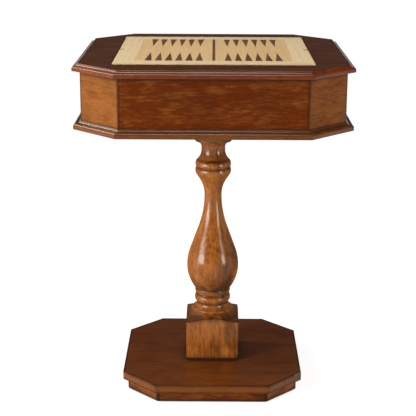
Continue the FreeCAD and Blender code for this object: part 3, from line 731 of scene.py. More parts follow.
def point_rows_tree():
    """Rows of like inlaid points, mirrored to the four quarters of a backgammon field."""
    tree, given = new_geometry_tree(
        "Backgammon Points",
        (
            ("Point", "Object", None),
            ("First", "Float", 0.03),
            ("Pitch", "Float", 0.022),
            ("Count", "Int", 6),
            ("Edge", "Float", 0.1695),
            ("Seed", "Int", 5),
            ("Material", "Material", None),
        ),
    )
    row = {
        "Count": given["Count"],
        "Start Location": combine(tree, given["First"], times(tree, given["Edge"], -1.0), 0.0),
        "Offset": combine(tree, given["Pitch"], 0.0, 0.0),
    }
    rows = result(tree, "GeometryNodeMeshLine", row, mode="OFFSET")
    for mirrored in ((-1.0, 1.0, 1.0), (1.0, -1.0, 1.0)):
        rows = join(tree, rows, result(tree, "GeometryNodeTransform", {"Geometry": rows, "Scale": mirrored}))
    here = separate(tree, position_of(tree))
    turn = times(tree, calc(tree, "GREATER_THAN", here["Y"], 0.0), math.pi)
    points = put_out(tree, rows, given["Point"], Rotation=combine(tree, 0.0, 0.0, turn))
    finish_tree(tree, lay_lots(tree, random_lots(tree, points, given["Seed"])), given["Material"])
    return tree


def chequer_tree():
    """Squares on every other place of a board of rows and columns."""
    tree, given = new_geometry_tree(
        "Chess Squares",
        (
            ("Square", "Object", None),
            ("Pitch", "Float", 0.0424),
            ("Count", "Int", SQUARES_ACROSS),
            ("First Column", "Int", 0),
            ("Seed", "Int", 9),
            ("Material", "Material", None),
        ),
    )
    count = given["Count"]
    width = times(tree, minus(tree, count, 1.0), given["Pitch"])
    sizes = {"Size X": width, "Size Y": width, "Vertices X": count, "Vertices Y": count}
    grid = result(tree, "GeometryNodeMeshGrid", sizes)
    index = index_of(tree)
    column = calc(tree, "FLOOR", calc(tree, "DIVIDE", plus(tree, index, 0.5), count))
    row = calc(tree, "FLOORED_MODULO", index, count)
    number = plus(tree, plus(tree, column, row), given["First Column"])
    chosen = calc(tree, "LESS_THAN", calc(tree, "FLOORED_MODULO", number, 2.0), 0.5)
    squares = put_out(tree, grid, given["Square"], Selection=chosen)
    finish_tree(tree, lay_lots(tree, random_lots(tree, squares, given["Seed"])), given["Material"])
    return tree


# Finishes


# Patterns in timber: run along the grain, patches in a metre, detail, roughness and warp
PATTERNS = {
    "wander": (0.3, 16.0, 3.0, 0.55, 0.0),
    "streaks": (0.1, 280.0, 4.0, 0.7, 0.0),
    "flecks": (0.09, 300.0, 2.0, 0.5, 0.0),
    "pores": (0.05, 1600.0, 2.0, 0.5, 0.0),
    "mottle": (0.42, 95.0, 4.0, 0.6, 0.5),
    "blotches": (0.6, 14.0, 3.0, 0.6, 0.3),
    "smear": (0.4, 26.0, 3.0, 0.6, 0.0),
    "waves": (0.35, 24.0, 2.0, 0.5, 0.0),
    "bands": (0.08, 60.0, 4.0, 0.6, 0.0),
    "fibres": (0.03, 500.0, 2.0, 0.5, 0.0),
}

# The stretch of each pattern, or of how open a place is, over which it comes in
SPANS = {
    "rings": (0.38, 0.62),
    "mottle": (0.36, 0.64),
    "streaks": (0.36, 0.64),
    "blotches": (0.48, 0.75),
    "flecks": (0.6, 0.74),
    "pores": (0.58, 0.75),
    "shading": (0.6, 1.0),
    "pooled": (0.3, 0.65),
    "arris": (0.55, 0.93),
    "worn": (0.3, 0.6),
    "smear": (0.25, 0.75),
}

# Growth rings: how slowly they change along the piece and across it, and their detail and roughness
RING_RUN = 0.02
RING_LEAN = 0.06
RING_DETAIL = (3.0, 0.55)

# Wear on the arrises: its patches in a metre, their detail and roughness
WORN_PATCHES = (45.0, 3.0, 0.6)

# Shares: the least of the pooled glaze and painted shade and of the worn arris, and what pores and streaks
# add to the relief
LEAST_POOLED_AND_SHADED = 0.7
LEAST_WORN = 0.75
PORE_RELIEF = -0.5
STREAK_RELIEF = 0.5

# Relief, in metres, and the rays that find out how open a place is
PORE_DEPTH = 0.1 * MM
WAVE_DEPTH = 0.4 * MM
SCRATCH_DEPTH = 0.05 * MM
OPENNESS_RAYS = 8


def noise(tree, where, scale, detail=2.0, roughness=0.5, warp=0.0):
    """Smooth random values, from 0 to 1, whose patches repeat about scale times in a metre."""
    inputs = {"Vector": where, "Scale": scale, "Detail": detail, "Roughness": roughness, "Distortion": warp}
    return result(tree, "ShaderNodeTexNoise", inputs, "Fac")


def pattern(tree, where, kind, run=None, scale=None):
    """One of the timber's patterns, squeezed so that it runs long along the grain."""
    usual_run, usual_scale, *rest = PATTERNS[kind]
    squeezed = vector_calc(tree, "MULTIPLY", where, (run or usual_run, 1.0, 1.0))
    return noise(tree, squeezed, scale or usual_scale, *rest)


def attribute(tree, name, output):
    """A value that a piece's mesh keeps under a name."""
    return result(tree, "ShaderNodeAttribute", None, output, attribute_name=name)


def openness(tree, reach, **settings):
    """How open a place is, from 0 in a tight corner to 1."""
    settings["samples"] = OPENNESS_RAYS
    return result(tree, "ShaderNodeAmbientOcclusion", {"Distance": reach}, "AO", **settings)


def relief(tree, height, strength, depth, under=None):
    """The surface's direction over fine relief, on top of any relief under it."""
    inputs = {"Height": height, "Strength": strength, "Distance": depth}
    if under:
        inputs["Normal"] = under
    return result(tree, "ShaderNodeBump", inputs)


def blend_colours(tree, share, first, second):
    """A colour that goes from the first to the second as the share goes from 0 to 1."""
    first, second = ((*end, 1.0) if isinstance(end, tuple) else end for end in (first, second))
    return result(tree, "ShaderNodeMix", {0: share, 6: first, 7: second}, 2, data_type="RGBA")


def darker(light, share):
    """The same colour with only a share of its light."""
    return tuple(share * c for c in light)


FINISHES = {}


def finish_of(slot):
    """The material of one of the record's slots."""
    return FINISHES[slot]


def new_material(name):
    """An empty material and its tree."""
    material = bpy.data.materials.new(name)
    material.use_nodes = True
    material.node_tree.nodes.clear()
    return material, material.node_tree


def finish_material(tree, inputs):
    """Ends a material in one shader with these inputs."""
    place(tree, "ShaderNodeOutputMaterial", {"Surface": result(tree, "ShaderNodeBsdfPrincipled", inputs)})


def wood(name, light, deep, glaze, edge, look):
    """Stained or clear timber: its figure, the glaze and painted shade in its recesses and under overhangs,
    its arrises, gloss and relief.
    """
    material, tree = new_material(name)
    grain = attribute(tree, "grain", "Vector")
    wander = times(tree, minus(tree, pattern(tree, grain, "wander"), 0.5), look["drift"])
    drifted = vector_calc(tree, "ADD", grain, combine(tree, 0.0, wander, wander))
    parts = separate(tree, drifted)
    squares = [times(tree, parts[axis], parts[axis]) for axis in ("Y", "Z")]
    from_pith = calc(tree, "SQRT", plus(tree, *squares))
    run, lean = times(tree, parts["X"], RING_RUN), times(tree, parts["Y"], RING_LEAN)
    ring_place = combine(tree, from_pith, run, lean)
    shown = {
        "rings": noise(tree, ring_place, look["ring_scale"], *RING_DETAIL),
        "mottle": pattern(tree, grain, "mottle", scale=look["mottle_scale"]),
        "streaks": pattern(tree, drifted, "streaks", run=look["streak_run"]),
        "blotches": pattern(tree, grain, "blotches", scale=look["blotch_scale"]),
        "flecks": pattern(tree, drifted, "flecks"),
        "pores": pattern(tree, drifted, "pores"),
    }
    shares = {kind: times(tree, spread(tree, shown[kind], *SPANS[kind]), look[kind]) for kind in shown}

    figure = plus(tree, plus(tree, shares["rings"], shares["mottle"]), shares["streaks"])
    figure = plus(tree, figure, attribute(tree, "tone", "Fac"))
    total = look["rings"] + look["mottle"] + look["streaks"]
    colour = blend_colours(tree, calc(tree, "DIVIDE", figure, total), deep, light)
    glaze_and_shades = [shares["blotches"], shares["flecks"], shares["pores"]]
    # Painted shade, partly glaze: darker where a place is closed in, as in recesses, creases and under
    # overhangs
    if look["glaze"]:
        depth = openness(tree, look["glaze_and_shade_reach"])
        uneven = spread(tree, shown["mottle"], *SPANS["pooled"], 1.0, LEAST_POOLED_AND_SHADED)
        glaze_and_shades += [
            spread(tree, depth, *look["glaze_and_shade_span"], look["glaze"], 0.0),
            spread(tree, depth, *SPANS["shading"], look["shading"], 0.0),
            times(tree, attribute(tree, "glaze", "Fac"), uneven),
        ]
    for share in glaze_and_shades:
        colour = blend_colours(tree, share, colour, glaze)
    if look["edge"]:
        inside = openness(tree, look["edge_reach"], inside=True, only_local=True)
        open_edge = spread(tree, inside, *SPANS["arris"], 1.0, 0.0)
        worn = noise(tree, grain, *WORN_PATCHES)
        strength = spread(tree, worn, *SPANS["worn"], LEAST_WORN * look["edge"], look["edge"])
        colour = blend_colours(tree, times(tree, open_edge, strength), colour, edge)

    gloss = spread(tree, pattern(tree, grain, "smear"), *SPANS["smear"], *look["gloss"])
    if look["dull_rim"]:
        facing = result(tree, "ShaderNodeLayerWeight", None, "Facing")
        gloss = plus(tree, gloss, times(tree, spread(tree, facing, *look["dull_span"]), look["dull_rim"]))
    fine = plus(tree, times(tree, shown["pores"], PORE_RELIEF), times(tree, shown["streaks"], STREAK_RELIEF))
    waves = relief(tree, pattern(tree, grain, "waves"), look["waves"], WAVE_DEPTH)
    inputs = {
        "Base Color": colour,
        "Roughness": gloss,
        "Specular IOR Level": look["specular"],
        "Specular Tint": (*look["tint"], 1.0),
        "Normal": relief(tree, fine, look["relief"], PORE_DEPTH, waves),
    }
    finish_material(tree, inputs)
    return material


def plywood(name, light, deep):
    """Bare plywood: a calm face and layers that show along its edges."""
    band_share, fibre_share, figure_span = 0.7, 0.3, (0.3, 0.7)
    layer_pitch, layer_blur, layer_strength, layer_light = 2.6 * MM, 0.3, 0.55, 0.45
    upright_below = 0.3
    gloss_span, gloss, shine, raised = (0.2, 0.8), (0.55, 0.75), 0.3, 0.3
    material, tree = new_material(name)
    grain = attribute(tree, "grain", "Vector")
    bands, fibres = (pattern(tree, grain, kind) for kind in ("bands", "fibres"))
    share = plus(tree, times(tree, bands, band_share), times(tree, fibres, fibre_share))
    colour = blend_colours(tree, spread(tree, share, *figure_span), deep, light)
    height = separate(tree, result(tree, "ShaderNodeTexCoord", None, "Object"))["Z"]
    layers = calc(tree, "SINE", times(tree, height, FULL_TURN / layer_pitch))
    facing = separate(tree, result(tree, "ShaderNodeNewGeometry", None, "True Normal"))["Z"]
    upright = calc(tree, "LESS_THAN", calc(tree, "ABSOLUTE", facing), upright_below)
    layers = times(tree, spread(tree, layers, -layer_blur, layer_blur), upright)
    colour = blend_colours(tree, times(tree, layers, layer_strength), colour, darker(deep, layer_light))
    inputs = {
        "Base Color": colour,
        "Roughness": spread(tree, fibres, *gloss_span, *gloss),
        "Specular IOR Level": shine,
        "Normal": relief(tree, fibres, raised, PORE_DEPTH),
    }
    finish_material(tree, inputs)
    return material


def plated_steel(name, colour):
    """Zinc plated steel with fine scratches and dull patches."""
    patch_scale, patch_detail, scratch_scale, scratch_squeeze = 90.0, 3.0, 700.0, (1.0, 1.0, 9.0)
    worn_span, worn_light = (0.35, 0.65), 0.72
    gloss_span, gloss, raised = (0.3, 0.7), (0.28, 0.48), 0.15
    material, tree = new_material(name)
    where = result(tree, "ShaderNodeTexCoord", None, "Object")
    patches = noise(tree, where, patch_scale, patch_detail)
    scratches = noise(tree, vector_calc(tree, "MULTIPLY", where, scratch_squeeze), scratch_scale)
    worn = spread(tree, times(tree, plus(tree, patches, scratches), 0.5), *worn_span)
    inputs = {
        "Base Color": blend_colours(tree, worn, darker(colour, worn_light), colour),
        "Metallic": 1.0,
        "Roughness": spread(tree, patches, *gloss_span, *gloss),
        "Normal": relief(tree, scratches, raised, SCRATCH_DEPTH),
    }
    finish_material(tree, inputs)
    return material


def moulded_plastic(name, colour):
    """Moulded plastic, scuffed where it slides on the floor."""
    scuff_pattern, scuff_span, scuff_light = (300.0, 4.0, 0.7), (0.4, 0.7), 0.7
    gloss_span, gloss, raised = (0.3, 0.7), (0.45, 0.65), 0.2
    material, tree = new_material(name)
    scuffs = noise(tree, result(tree, "ShaderNodeTexCoord", None, "Object"), *scuff_pattern)
    scuffed = spread(tree, scuffs, *scuff_span)
    inputs = {
        "Base Color": blend_colours(tree, scuffed, colour, darker(colour, scuff_light)),
        "Roughness": spread(tree, scuffs, *gloss_span, *gloss),
        "Normal": relief(tree, scuffs, raised, SCRATCH_DEPTH),
    }
    finish_material(tree, inputs)
    return material


STAINED = {
    "dull_span": (0.18, 0.5),
    "redness": 1.5,
    "drift": 0.02,
    "ring_scale": 150.0,
    "rings": 0.3,
    "mottle": 0.35,
    "mottle_scale": 95.0,
    "streaks": 0.35,
    "streak_run": 0.1,
    "blotches": 0.5,
    "blotch_scale": 14.0,
    "flecks": 0.5,
    "pores": 0.5,
    # Strength, reach and span of the glaze and painted shade where a place is closed in
    "glaze": 0.95,
    "glaze_and_shade_reach": 25.0 * MM,
    "glaze_and_shade_span": (0.4, 0.64),
    "shading": 0.35,
    "edge": 1.0,
    "edge_reach": 7.0 * MM,
    "gloss": (0.16, 0.24),
    "dull_rim": 0.0,
    "specular": 0.24,
    "tint": (1.0, 0.93, 0.85),
    "relief": 0.08,
    "waves": 0.12,
}
APRON = {
    **STAINED,
    "redness": 1.85,
    # A narrow, strong painted shadow under the top moulding's overhang
    "glaze_and_shade_reach": 15.0 * MM,
    "glaze_and_shade_span": (0.62, 0.9),
    "mottle_scale": 48.0,
    "rings": 0.2,
    "streaks": 0.45,
    "streak_run": 0.15,
    "blotches": 0.3,
    "specular": 0.09,
    "gloss": (0.36, 0.48),
    "edge": 0.6,
    "edge_reach": 6.0 * MM,
    "tint": (1.0, 0.7, 0.35),
}
MOULDING = {**STAINED, "specular": 0.36, "gloss": (0.19, 0.27), "edge": 0.25, "tint": (1.0, 0.82, 0.62)}
COLUMN = {
    **STAINED,
    "edge": 0.0,
    "ring_scale": 380.0,
    "rings": 0.28,
    "mottle_scale": 60.0,
    "streaks": 0.4,
    "streak_run": 0.03,
    "blotches": 0.65,
    "flecks": 0.45,
    "glaze_and_shade_span": (0.5, 0.8),
    "specular": 0.23,
    "tint": (1.0, 0.97, 0.9),
    "gloss": (0.17, 0.24),
    "dull_rim": 0.8,
}
SLAB = {
    **STAINED,
    "specular": 0.28,
    "gloss": (0.12, 0.2),
    "dull_rim": 0.6,
    "dull_span": (0.66, 0.74),
    "rings": 0.2,
    "mottle": 0.3,
    "mottle_scale": 26.0,
    "streaks": 0.1,
    "blotches": 0.25,
    "flecks": 0.25,
    "pores": 0.3,
    "relief": 0.02,
    "waves": 0.06,
    "edge_reach": 9.0 * MM,
    "tint": (1.0, 0.6, 0.2),
}
PLINTH = {
    **STAINED,
    "specular": 0.1,
    "tint": (1.0, 0.75, 0.4),
    "mottle_scale": 60.0,
    # Painted shadow under the base slab's overhang
    "glaze_and_shade_span": (0.45, 0.8),
}
MATT_TOP = {
    **STAINED,
    "specular": 0.06,
    "gloss": (0.4, 0.5),
    "mottle": 0.25,
    "blotches": 0.3,
    "streaks": 0.2,
    "flecks": 0.3,
    "relief": 0.04,
    "tint": (1.0, 0.75, 0.4),
}
CLEAR = {
    **STAINED,
    "mottle": 0.15,
    "blotches": 0.08,
    "pores": 0.12,
    "flecks": 0.1,
    "glaze": 0.0,
    "edge": 0.0,
    "gloss": (0.44, 0.54),
    "specular": 0.2,
    "tint": (1.0, 1.0, 1.0),
    "waves": 0.05,
}
BARE = {**CLEAR, "gloss": (0.6, 0.75), "specular": 0.3, "rings": 0.6}


# How much faster blue fades than green in a deeper stain, and the light kept in pores and in dark plywood
BLUE_FADE = 1.33
PORE_LIGHT = 0.35
PLY_LIGHT = 0.78


def deepened(light, depth, redness=STAINED["redness"]):
    """A deeper tone of a colour, redder as it darkens."""
    red, green, blue = light
    return (red * depth, green * depth**redness, blue * depth ** (BLUE_FADE * redness))


def make_finishes(colours):
    """Every material, under the name of its slot in the record."""
    # The dark glaze, also the colour of the painted shade in recesses and under overhangs
    glaze = tuple(colours.glaze)
    stains = (
        ("dark_top", colours.top, 0.65, MATT_TOP),
        ("base_top", colours.slab, 0.7, SLAB),
        ("top_edge", colours.top_moulding, 0.5, MOULDING),
        ("apron", colours.apron, 0.42, APRON),
        ("lower_edge", colours.lower_moulding, 0.5, MOULDING),
        ("turned_column", colours.column, 0.38, COLUMN),
        ("plinth", colours.plinth, 0.26, PLINTH),
    )
    for slot, light, depth, look in stains:
        light = tuple(light)
        deep = deepened(light, depth, look["redness"])
        FINISHES[slot] = wood(f"{slot}_stain", light, deep, glaze, glaze, look)
    clears = (
        ("board_edge", colours.lipping, 0.85, CLEAR),
        ("board_border", colours.border, 0.86, CLEAR),
        ("board_field", colours.field, 0.86, CLEAR),
        ("dark_inlay", colours.inlay, 0.6, CLEAR),
        ("chess_dark", colours.inlay, 0.6, CLEAR),
        ("chess_light", colours.field, 0.86, CLEAR),
        ("plain_timber", colours.bare_timber, 0.7, BARE),
    )
    for slot, light, depth, look in clears:
        light = tuple(light)
        dark = darker(light, PORE_LIGHT)
        FINISHES[slot] = wood(f"{slot}_timber", light, deepened(light, depth), dark, light, look)
    plies = tuple(colours.plywood)
    FINISHES["plywood"] = plywood("birch_plywood", plies, darker(plies, PLY_LIGHT))
    FINISHES["steel"] = plated_steel("zinc_plate", tuple(colours.steel))
    FINISHES["glide"] = moulded_plastic("glide_plastic", tuple(colours.glide))


# Settings


def length(name, description, default):
    """A size that a user can change."""
    return bpy.props.FloatProperty(
        name=name, description=description, default=default, min=0.0, unit="LENGTH", subtype="DISTANCE"
    )


def colour(name, description, default):
    """A colour that a user can change."""
    return bpy.props.FloatVectorProperty(
        name=name, description=description, default=default, size=3, min=0.0, max=1.0, subtype="COLOR"
    )


class GamesTableSizes(bpy.types.PropertyGroup):
    """Sizes of the easing on the table's edges."""

    apron_easing: length("Apron Easing", "Rounding of the apron boards' arrises", 1.5 * MM)
    plinth_easing: length("Plinth Easing", "Rounding of the plinth strips' arrises", 1.0 * MM)
    slab_easing: length("Slab Easing", "Rounding of the base slab's corners", 0.6 * MM)
    panel_easing: length("Panel Easing", "Rounding round the opening in the top", 0.6 * MM)
    hidden_easing: length("Hidden Easing", "Rounding of the timber that the box hides", 0.8 * MM)
    inlay_easing: length("Inlay Easing", "Rounding of the veneer's edges", 0.1 * MM)
    lipping_easing: length("Lipping Easing", "Rounding of the board's pale edge", 0.4 * MM)
    shoulder_easing: length("Shoulder Easing", "Softness of the column's square shoulders", 1.0 * MM)
    steel_easing: length("Steel Easing", "Rounding of the bolt heads and washers", 0.25 * MM)


class GamesTableColours(bpy.types.PropertyGroup):
    """Colours of the table's stains, veneers and hardware."""

    top: colour("Top", "Stain of the top panel", (0.068, 0.018, 0.004))
    top_moulding: colour("Top Moulding", "Stain of the moulding round the top", (0.165, 0.033, 0.005))
    apron: colour("Apron", "Stain of the apron boards", (0.198, 0.065, 0.012))
    lower_moulding: colour("Lower Moulding", "Stain of the moulding under the apron", (0.16, 0.049, 0.01))
    column: colour("Column", "Stain of the turned column", (0.33, 0.114, 0.019))
    slab: colour("Slab", "Stain of the base slab", (0.158, 0.045, 0.01))
    plinth: colour("Plinth", "Stain of the plinth strips", (0.46, 0.12, 0.014))
    # Also the colour of painted shade in recesses, under overhangs and on the column
    glaze: colour("Glaze", "Dark glaze left in the recesses", (0.02, 0.007, 0.003))
    border: colour("Border", "Veneer round the playing field", (0.68, 0.53, 0.31))
    field: colour("Field", "Veneer of the playing field", (0.62, 0.42, 0.2))
    inlay: colour("Inlay", "Dark veneer of the points, the bar and the squares", (0.15, 0.05, 0.022))
    lipping: colour("Lipping", "Timber of the board's edge", (0.7, 0.53, 0.31))
    bare_timber: colour("Bare Timber", "Unfinished timber inside", (0.46, 0.3, 0.16))
    plywood: colour("Plywood", "Plywood of the box's bottom and the board's core", (0.56, 0.4, 0.23))
    steel: colour("Steel", "Zinc plate of the screws, bolts and washers", (0.56, 0.56, 0.58))
    glide: colour("Glide", "Plastic of the floor glides", (0.55, 0.53, 0.5))


# Operators


class GAMESTABLE_OT_finishes(bpy.types.Operator):
    """Mixes the stains, veneers, steel and plastic"""

    bl_idname = "games_table.finishes"
    bl_label = "Mix Finishes"

    def execute(self, context):
        make_finishes(context.scene.games_table_colours)
        return {"FINISHED"}


class GAMESTABLE_OT_stage(bpy.types.Operator):
    """Sets up the floor, the studio lamps, the sky and the camera"""

    bl_idname = "games_table.stage"
    bl_label = "Set Up Stage"

    def execute(self, context):
        make_floor()
        make_sky(context.scene)
        for lamp in LAMPS:
            make_lamp(*lamp)
        make_camera(context.scene)
        return {"FINISHED"}


# The photograph's camera: turns in radians, place in metres, focal length and picture in pixels
CAMERA_YAW = 0.0044556
CAMERA_PITCH = 0.2795717
CAMERA_ROLL = -0.0042268
CAMERA_PLACE = (-0.00023, -2.6123, 1.1596)
FOCAL_PIXELS = 1142.59
PICTURE_PIXELS = 416
SENSOR_WIDTH = 36.0
FARTHEST_SEEN = 200.0


def turned_pair(first, second, angle):
    """Two directions turned by an angle in the plane that they span."""
    cosine, sine = math.cos(angle), math.sin(angle)
    turned = [a * cosine + b * -sine for a, b in zip(first, second)]
    return turned, [a * sine + b * cosine for a, b in zip(first, second)]


def make_camera(scene):
    """The photograph's own viewpoint."""
    side = (math.cos(CAMERA_YAW), math.sin(CAMERA_YAW), 0.0)
    level = (-math.sin(CAMERA_YAW), math.cos(CAMERA_YAW), 0.0)
    ahead, top = turned_pair(level, (0.0, 0.0, 1.0), CAMERA_PITCH)
    right, top = turned_pair(side, top, CAMERA_ROLL)
    camera = bpy.data.objects.new("camera", bpy.data.cameras.new("camera"))
    scene.collection.objects.link(camera)
    camera.data.sensor_width = SENSOR_WIDTH
    camera.data.lens = FOCAL_PIXELS / PICTURE_PIXELS * SENSOR_WIDTH
    camera.data.clip_end = FARTHEST_SEEN
    rows = [[right[i], top[i], -ahead[i], CAMERA_PLACE[i]] for i in range(3)]
    camera.matrix_world = Matrix([*rows, [0.0, 0.0, 0.0, 1.0]])
    scene.camera = camera
    scene.view_settings.view_transform = "Standard"


# The floor, in metres: its radius, its paint, its glow near the table and the stretch over which that grows,
# and the reach and span of the painted contact shadow that dims the glow in the gap under the foot
FLOOR_RADIUS = 60.0
FLOOR_SEGMENTS = 96
FLOOR_PAINT = (0.32, 0.315, 0.31, 1.0)
WHITE = (1.0, 1.0, 1.0, 1.0)
NEAR_GLOW = 0.87
GLOW_SPAN = (0.4, 3.0)
CONTACT_SHADOW_REACH = 30.0 * MM
CONTACT_SHADOW_SPAN = (0.1, 0.42)

# The sky: the heights between which its white fades, and what is left of it above
SKY_SPAN = (0.07, 0.11)
HIGH_SKY = 0.06


def make_floor():
    """A plain pale floor, white to the camera, that keeps the table's shadow, with a painted contact shadow
    under the foot.
    """
    shape = bmesh.new()
    bmesh.ops.create_circle(shape, cap_ends=True, segments=FLOOR_SEGMENTS, radius=FLOOR_RADIUS)
    mesh = bpy.data.meshes.new("floor")
    shape.to_mesh(mesh)
    shape.free()
    floor = new_object("floor", mesh)
    material, tree = new_material("pale_floor")
    ray = place(tree, "ShaderNodeLightPath").outputs
    seen = plus(tree, ray["Is Camera Ray"], ray["Is Glossy Ray"])
    seen = calc(tree, "MINIMUM", plus(tree, seen, ray["Is Transmission Ray"]), 1.0)
    where = result(tree, "ShaderNodeTexCoord", None, "Object")
    away = result(tree, "ShaderNodeVectorMath", {0: where}, "Value", operation="LENGTH")
    near = spread(tree, away, *GLOW_SPAN, NEAR_GLOW, 1.0)
    # Painted shadow: the glow fades where the floor is closed in, in the gap under the foot
    near = times(tree, near, spread(tree, openness(tree, CONTACT_SHADOW_REACH), *CONTACT_SHADOW_SPAN))
    glow = {"Color": WHITE, "Strength": times(tree, seen, near)}
    layers = {
        0: result(tree, "ShaderNodeBsdfDiffuse", {"Color": FLOOR_PAINT}),
        1: result(tree, "ShaderNodeEmission", glow),
    }
    place(tree, "ShaderNodeOutputMaterial", {"Surface": result(tree, "ShaderNodeAddShader", layers)})
    floor.data.materials.append(material)


def make_sky(scene):
    """A studio that is white along the horizon and dim above."""
    world = bpy.data.worlds.new("studio")
    scene.world = world
    world.use_nodes = True
    tree = world.node_tree
    tree.nodes.clear()
    height = separate(tree, result(tree, "ShaderNodeTexCoord", None, "Generated"))["Z"]
    sky = {"Color": WHITE, "Strength": spread(tree, height, *SKY_SPAN, 1.0, HIGH_SKY)}
    place(tree, "ShaderNodeOutputWorld", {"Surface": result(tree, "ShaderNodeBackground", sky)})


def make_lamp(name, spot, aim, width, tall, power):
    """A soft rectangular lamp that faces a place."""
    data = bpy.data.lights.new(name, "AREA")
    data.shape = "RECTANGLE"
    data.size = width
    data.size_y = tall
    data.energy = power
    lamp = bpy.data.objects.new(name, data)
    bpy.context.scene.collection.objects.link(lamp)
    facing = Vector(aim) - Vector(spot)
    turn = facing.to_track_quat("-Z", "Y").to_matrix().to_4x4()
    lamp.matrix_world = Matrix.Translation(spot) @ turn


def round_axis(bearing, distance, height):
    """A place round the column: a bearing in degrees to the right of the front, a distance and a height."""
    angle = math.radians(bearing)
    return (distance * math.sin(angle), -distance * math.cos(angle), height)


# Lamps, in metres and watts: name, place, what it faces, width, height and power
LAMPS = (
    ("left_box", round_axis(-55.0, 2.3, 0.6), (0.0, 0.0, 0.6), 1.15, 0.9, 80.0),
    ("right_strip", round_axis(50.0, 2.3, 0.6), (0.0, 0.0, 0.6), 0.5, 0.9, 34.0),
    ("high_box", round_axis(-107.0, 2.0, 2.0), (-0.2, -0.2, 0.75), 1.3, 0.5, 23.0),
    ("overhead_box", (-0.1, -0.45, 2.5), (0.0, 0.0, 0.787), 0.9, 0.9, 31.0),
    ("rear_strip", round_axis(132.0, 2.0, 0.45), (0.0, 0.0, 0.45), 1.0, 0.5, 12.0),
)


class GAMESTABLE_OT_base(bpy.types.Operator):
    """Makes the base slab, the plinth under it and their blocks"""

    bl_idname = "games_table.base"
    bl_label = "Make Base"

    def execute(self, context):
        sizes = context.scene.games_table_sizes
        timber("base_slab", "base_top", sizes.slab_easing, ALONG_X, 0.0)
        for side in SIDES:
            # Each plinth strip takes its side's tone and painted light and shade
            timber(f"plinth_{side}", "plinth", sizes.plinth_easing, side_way(side), SIDE_TONES_AND_LIGHT[side])
        timber("plinth_blocks", "plain_timber", sizes.hidden_easing, ALONG_Z)
        return {"FINISHED"}


class GAMESTABLE_OT_column(bpy.types.Operator):
    """Turns the column out of its square blank"""

    bl_idname = "games_table.column"
    bl_label = "Turn Column"

    def execute(self, context):
        sizes = context.scene.games_table_sizes
        low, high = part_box("column")
        outline = column_outline()
        line = [
            (radius * MM, share * MM, height * MM)
            for (radius, height), share in zip(outline, pooled_stain(outline))
        ]
        values = {
            "Outline": pattern_object("column_outline", line, closed=False),
            "Blank Half Width": high.x,
            "Shoulder Easing": sizes.shoulder_easing,
            "Level": low.z,
            "Material": finish_of("turned_column"),
        }
        piece = run_tree(column_tree(), "turned_column", values)
        settle(piece, "table", "turned_column", "column")
        return {"FINISHED"}


class GAMESTABLE_OT_box(bpy.types.Operator):
    """Makes the box: its apron, bottom, blocks, top panel and ledges"""

    bl_idname = "games_table.box"
    bl_label = "Make Box"

    def execute(self, context):
        sizes = context.scene.games_table_sizes
        for side in SIDES:
            # Each apron board takes its side's tone and painted light and shade
            timber(f"apron_{side}", "apron", sizes.apron_easing, side_way(side), SIDE_TONES_AND_LIGHT[side])
        timber("top_panel", "dark_top", sizes.panel_easing, ALONG_X, 0.0)
        for node, slot, along in (
            ("box_bottom", "plywood", ALONG_X),
            ("mounting_plate", "plain_timber", ALONG_X),
            ("glue_blocks", "plain_timber", ALONG_Z),
            ("ledge_front", "plain_timber", ALONG_X),
            ("ledge_back", "plain_timber", ALONG_X),
            ("ledge_left", "plain_timber", ALONG_Y),
            ("ledge_right", "plain_timber", ALONG_Y),
        ):
            timber(node, slot, sizes.hidden_easing, along)
        return {"FINISHED"}


class GAMESTABLE_OT_mouldings(bpy.types.Operator):
    """Draws out the sixteen mitred lengths of moulding"""

    bl_idname = "games_table.mouldings"
    bl_label = "Draw Mouldings"

    def execute(self, context):
        tree = moulding_tree()
        reaches = {side: apron_reach(side) for side in ("back", "back_left")}
        for family, slot, shape in (
            ("top_moulding", "top_edge", TOP_MOULDING),
            ("lower_moulding", "lower_edge", LOWER_MOULDING),
        ):
            line = [(x * MM, y * MM, 0.0) for x, y in moulding_outline(shape)]
            outline = pattern_object(f"{family}_outline", line, closed=True)
            for number, side in enumerate(SIDES):
                node = f"{family}_{side}"
                half, distance = reaches["back_left" if "_" in side else "back"]
                chance = random.Random(node)
                shift = chance.uniform(-LOT_REACH, LOT_REACH), chance.uniform(*MOULDING_PITH), PITH_DEPTH
                values = {
                    "Outline": outline,
                    "Side Distance": distance,
                    "Half Length": half,
                    "Level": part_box(node)[0].z,
                    "Side Turn": number * SIDE_TURN,
                    "Grain Shift": shift,
                    # The side's tone and painted light and shade, at the mouldings' share
                    "Tone": MOULDING_TONE_SHARE * SIDE_TONES_AND_LIGHT[side],
                    "Material": finish_of(slot),
                }
                piece = run_tree(tree, f"{node}_length", values)
                weigh_normals(piece)
                settle(piece, "table", slot, node)
        return {"FINISHED"}


def apron_reach(side):
    """Half of the length of one of the apron's sides, and its distance from the axis."""
    turn = SIDES.index(side) * SIDE_TURN
    way, out = side_way(side), Vector((-math.sin(turn), math.cos(turn), 0))
    corners = [vertex.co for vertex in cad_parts[f"apron_{side}"].data.vertices]
    return max(corner.dot(way) for corner in corners), max(corner.dot(out) for corner in corners)


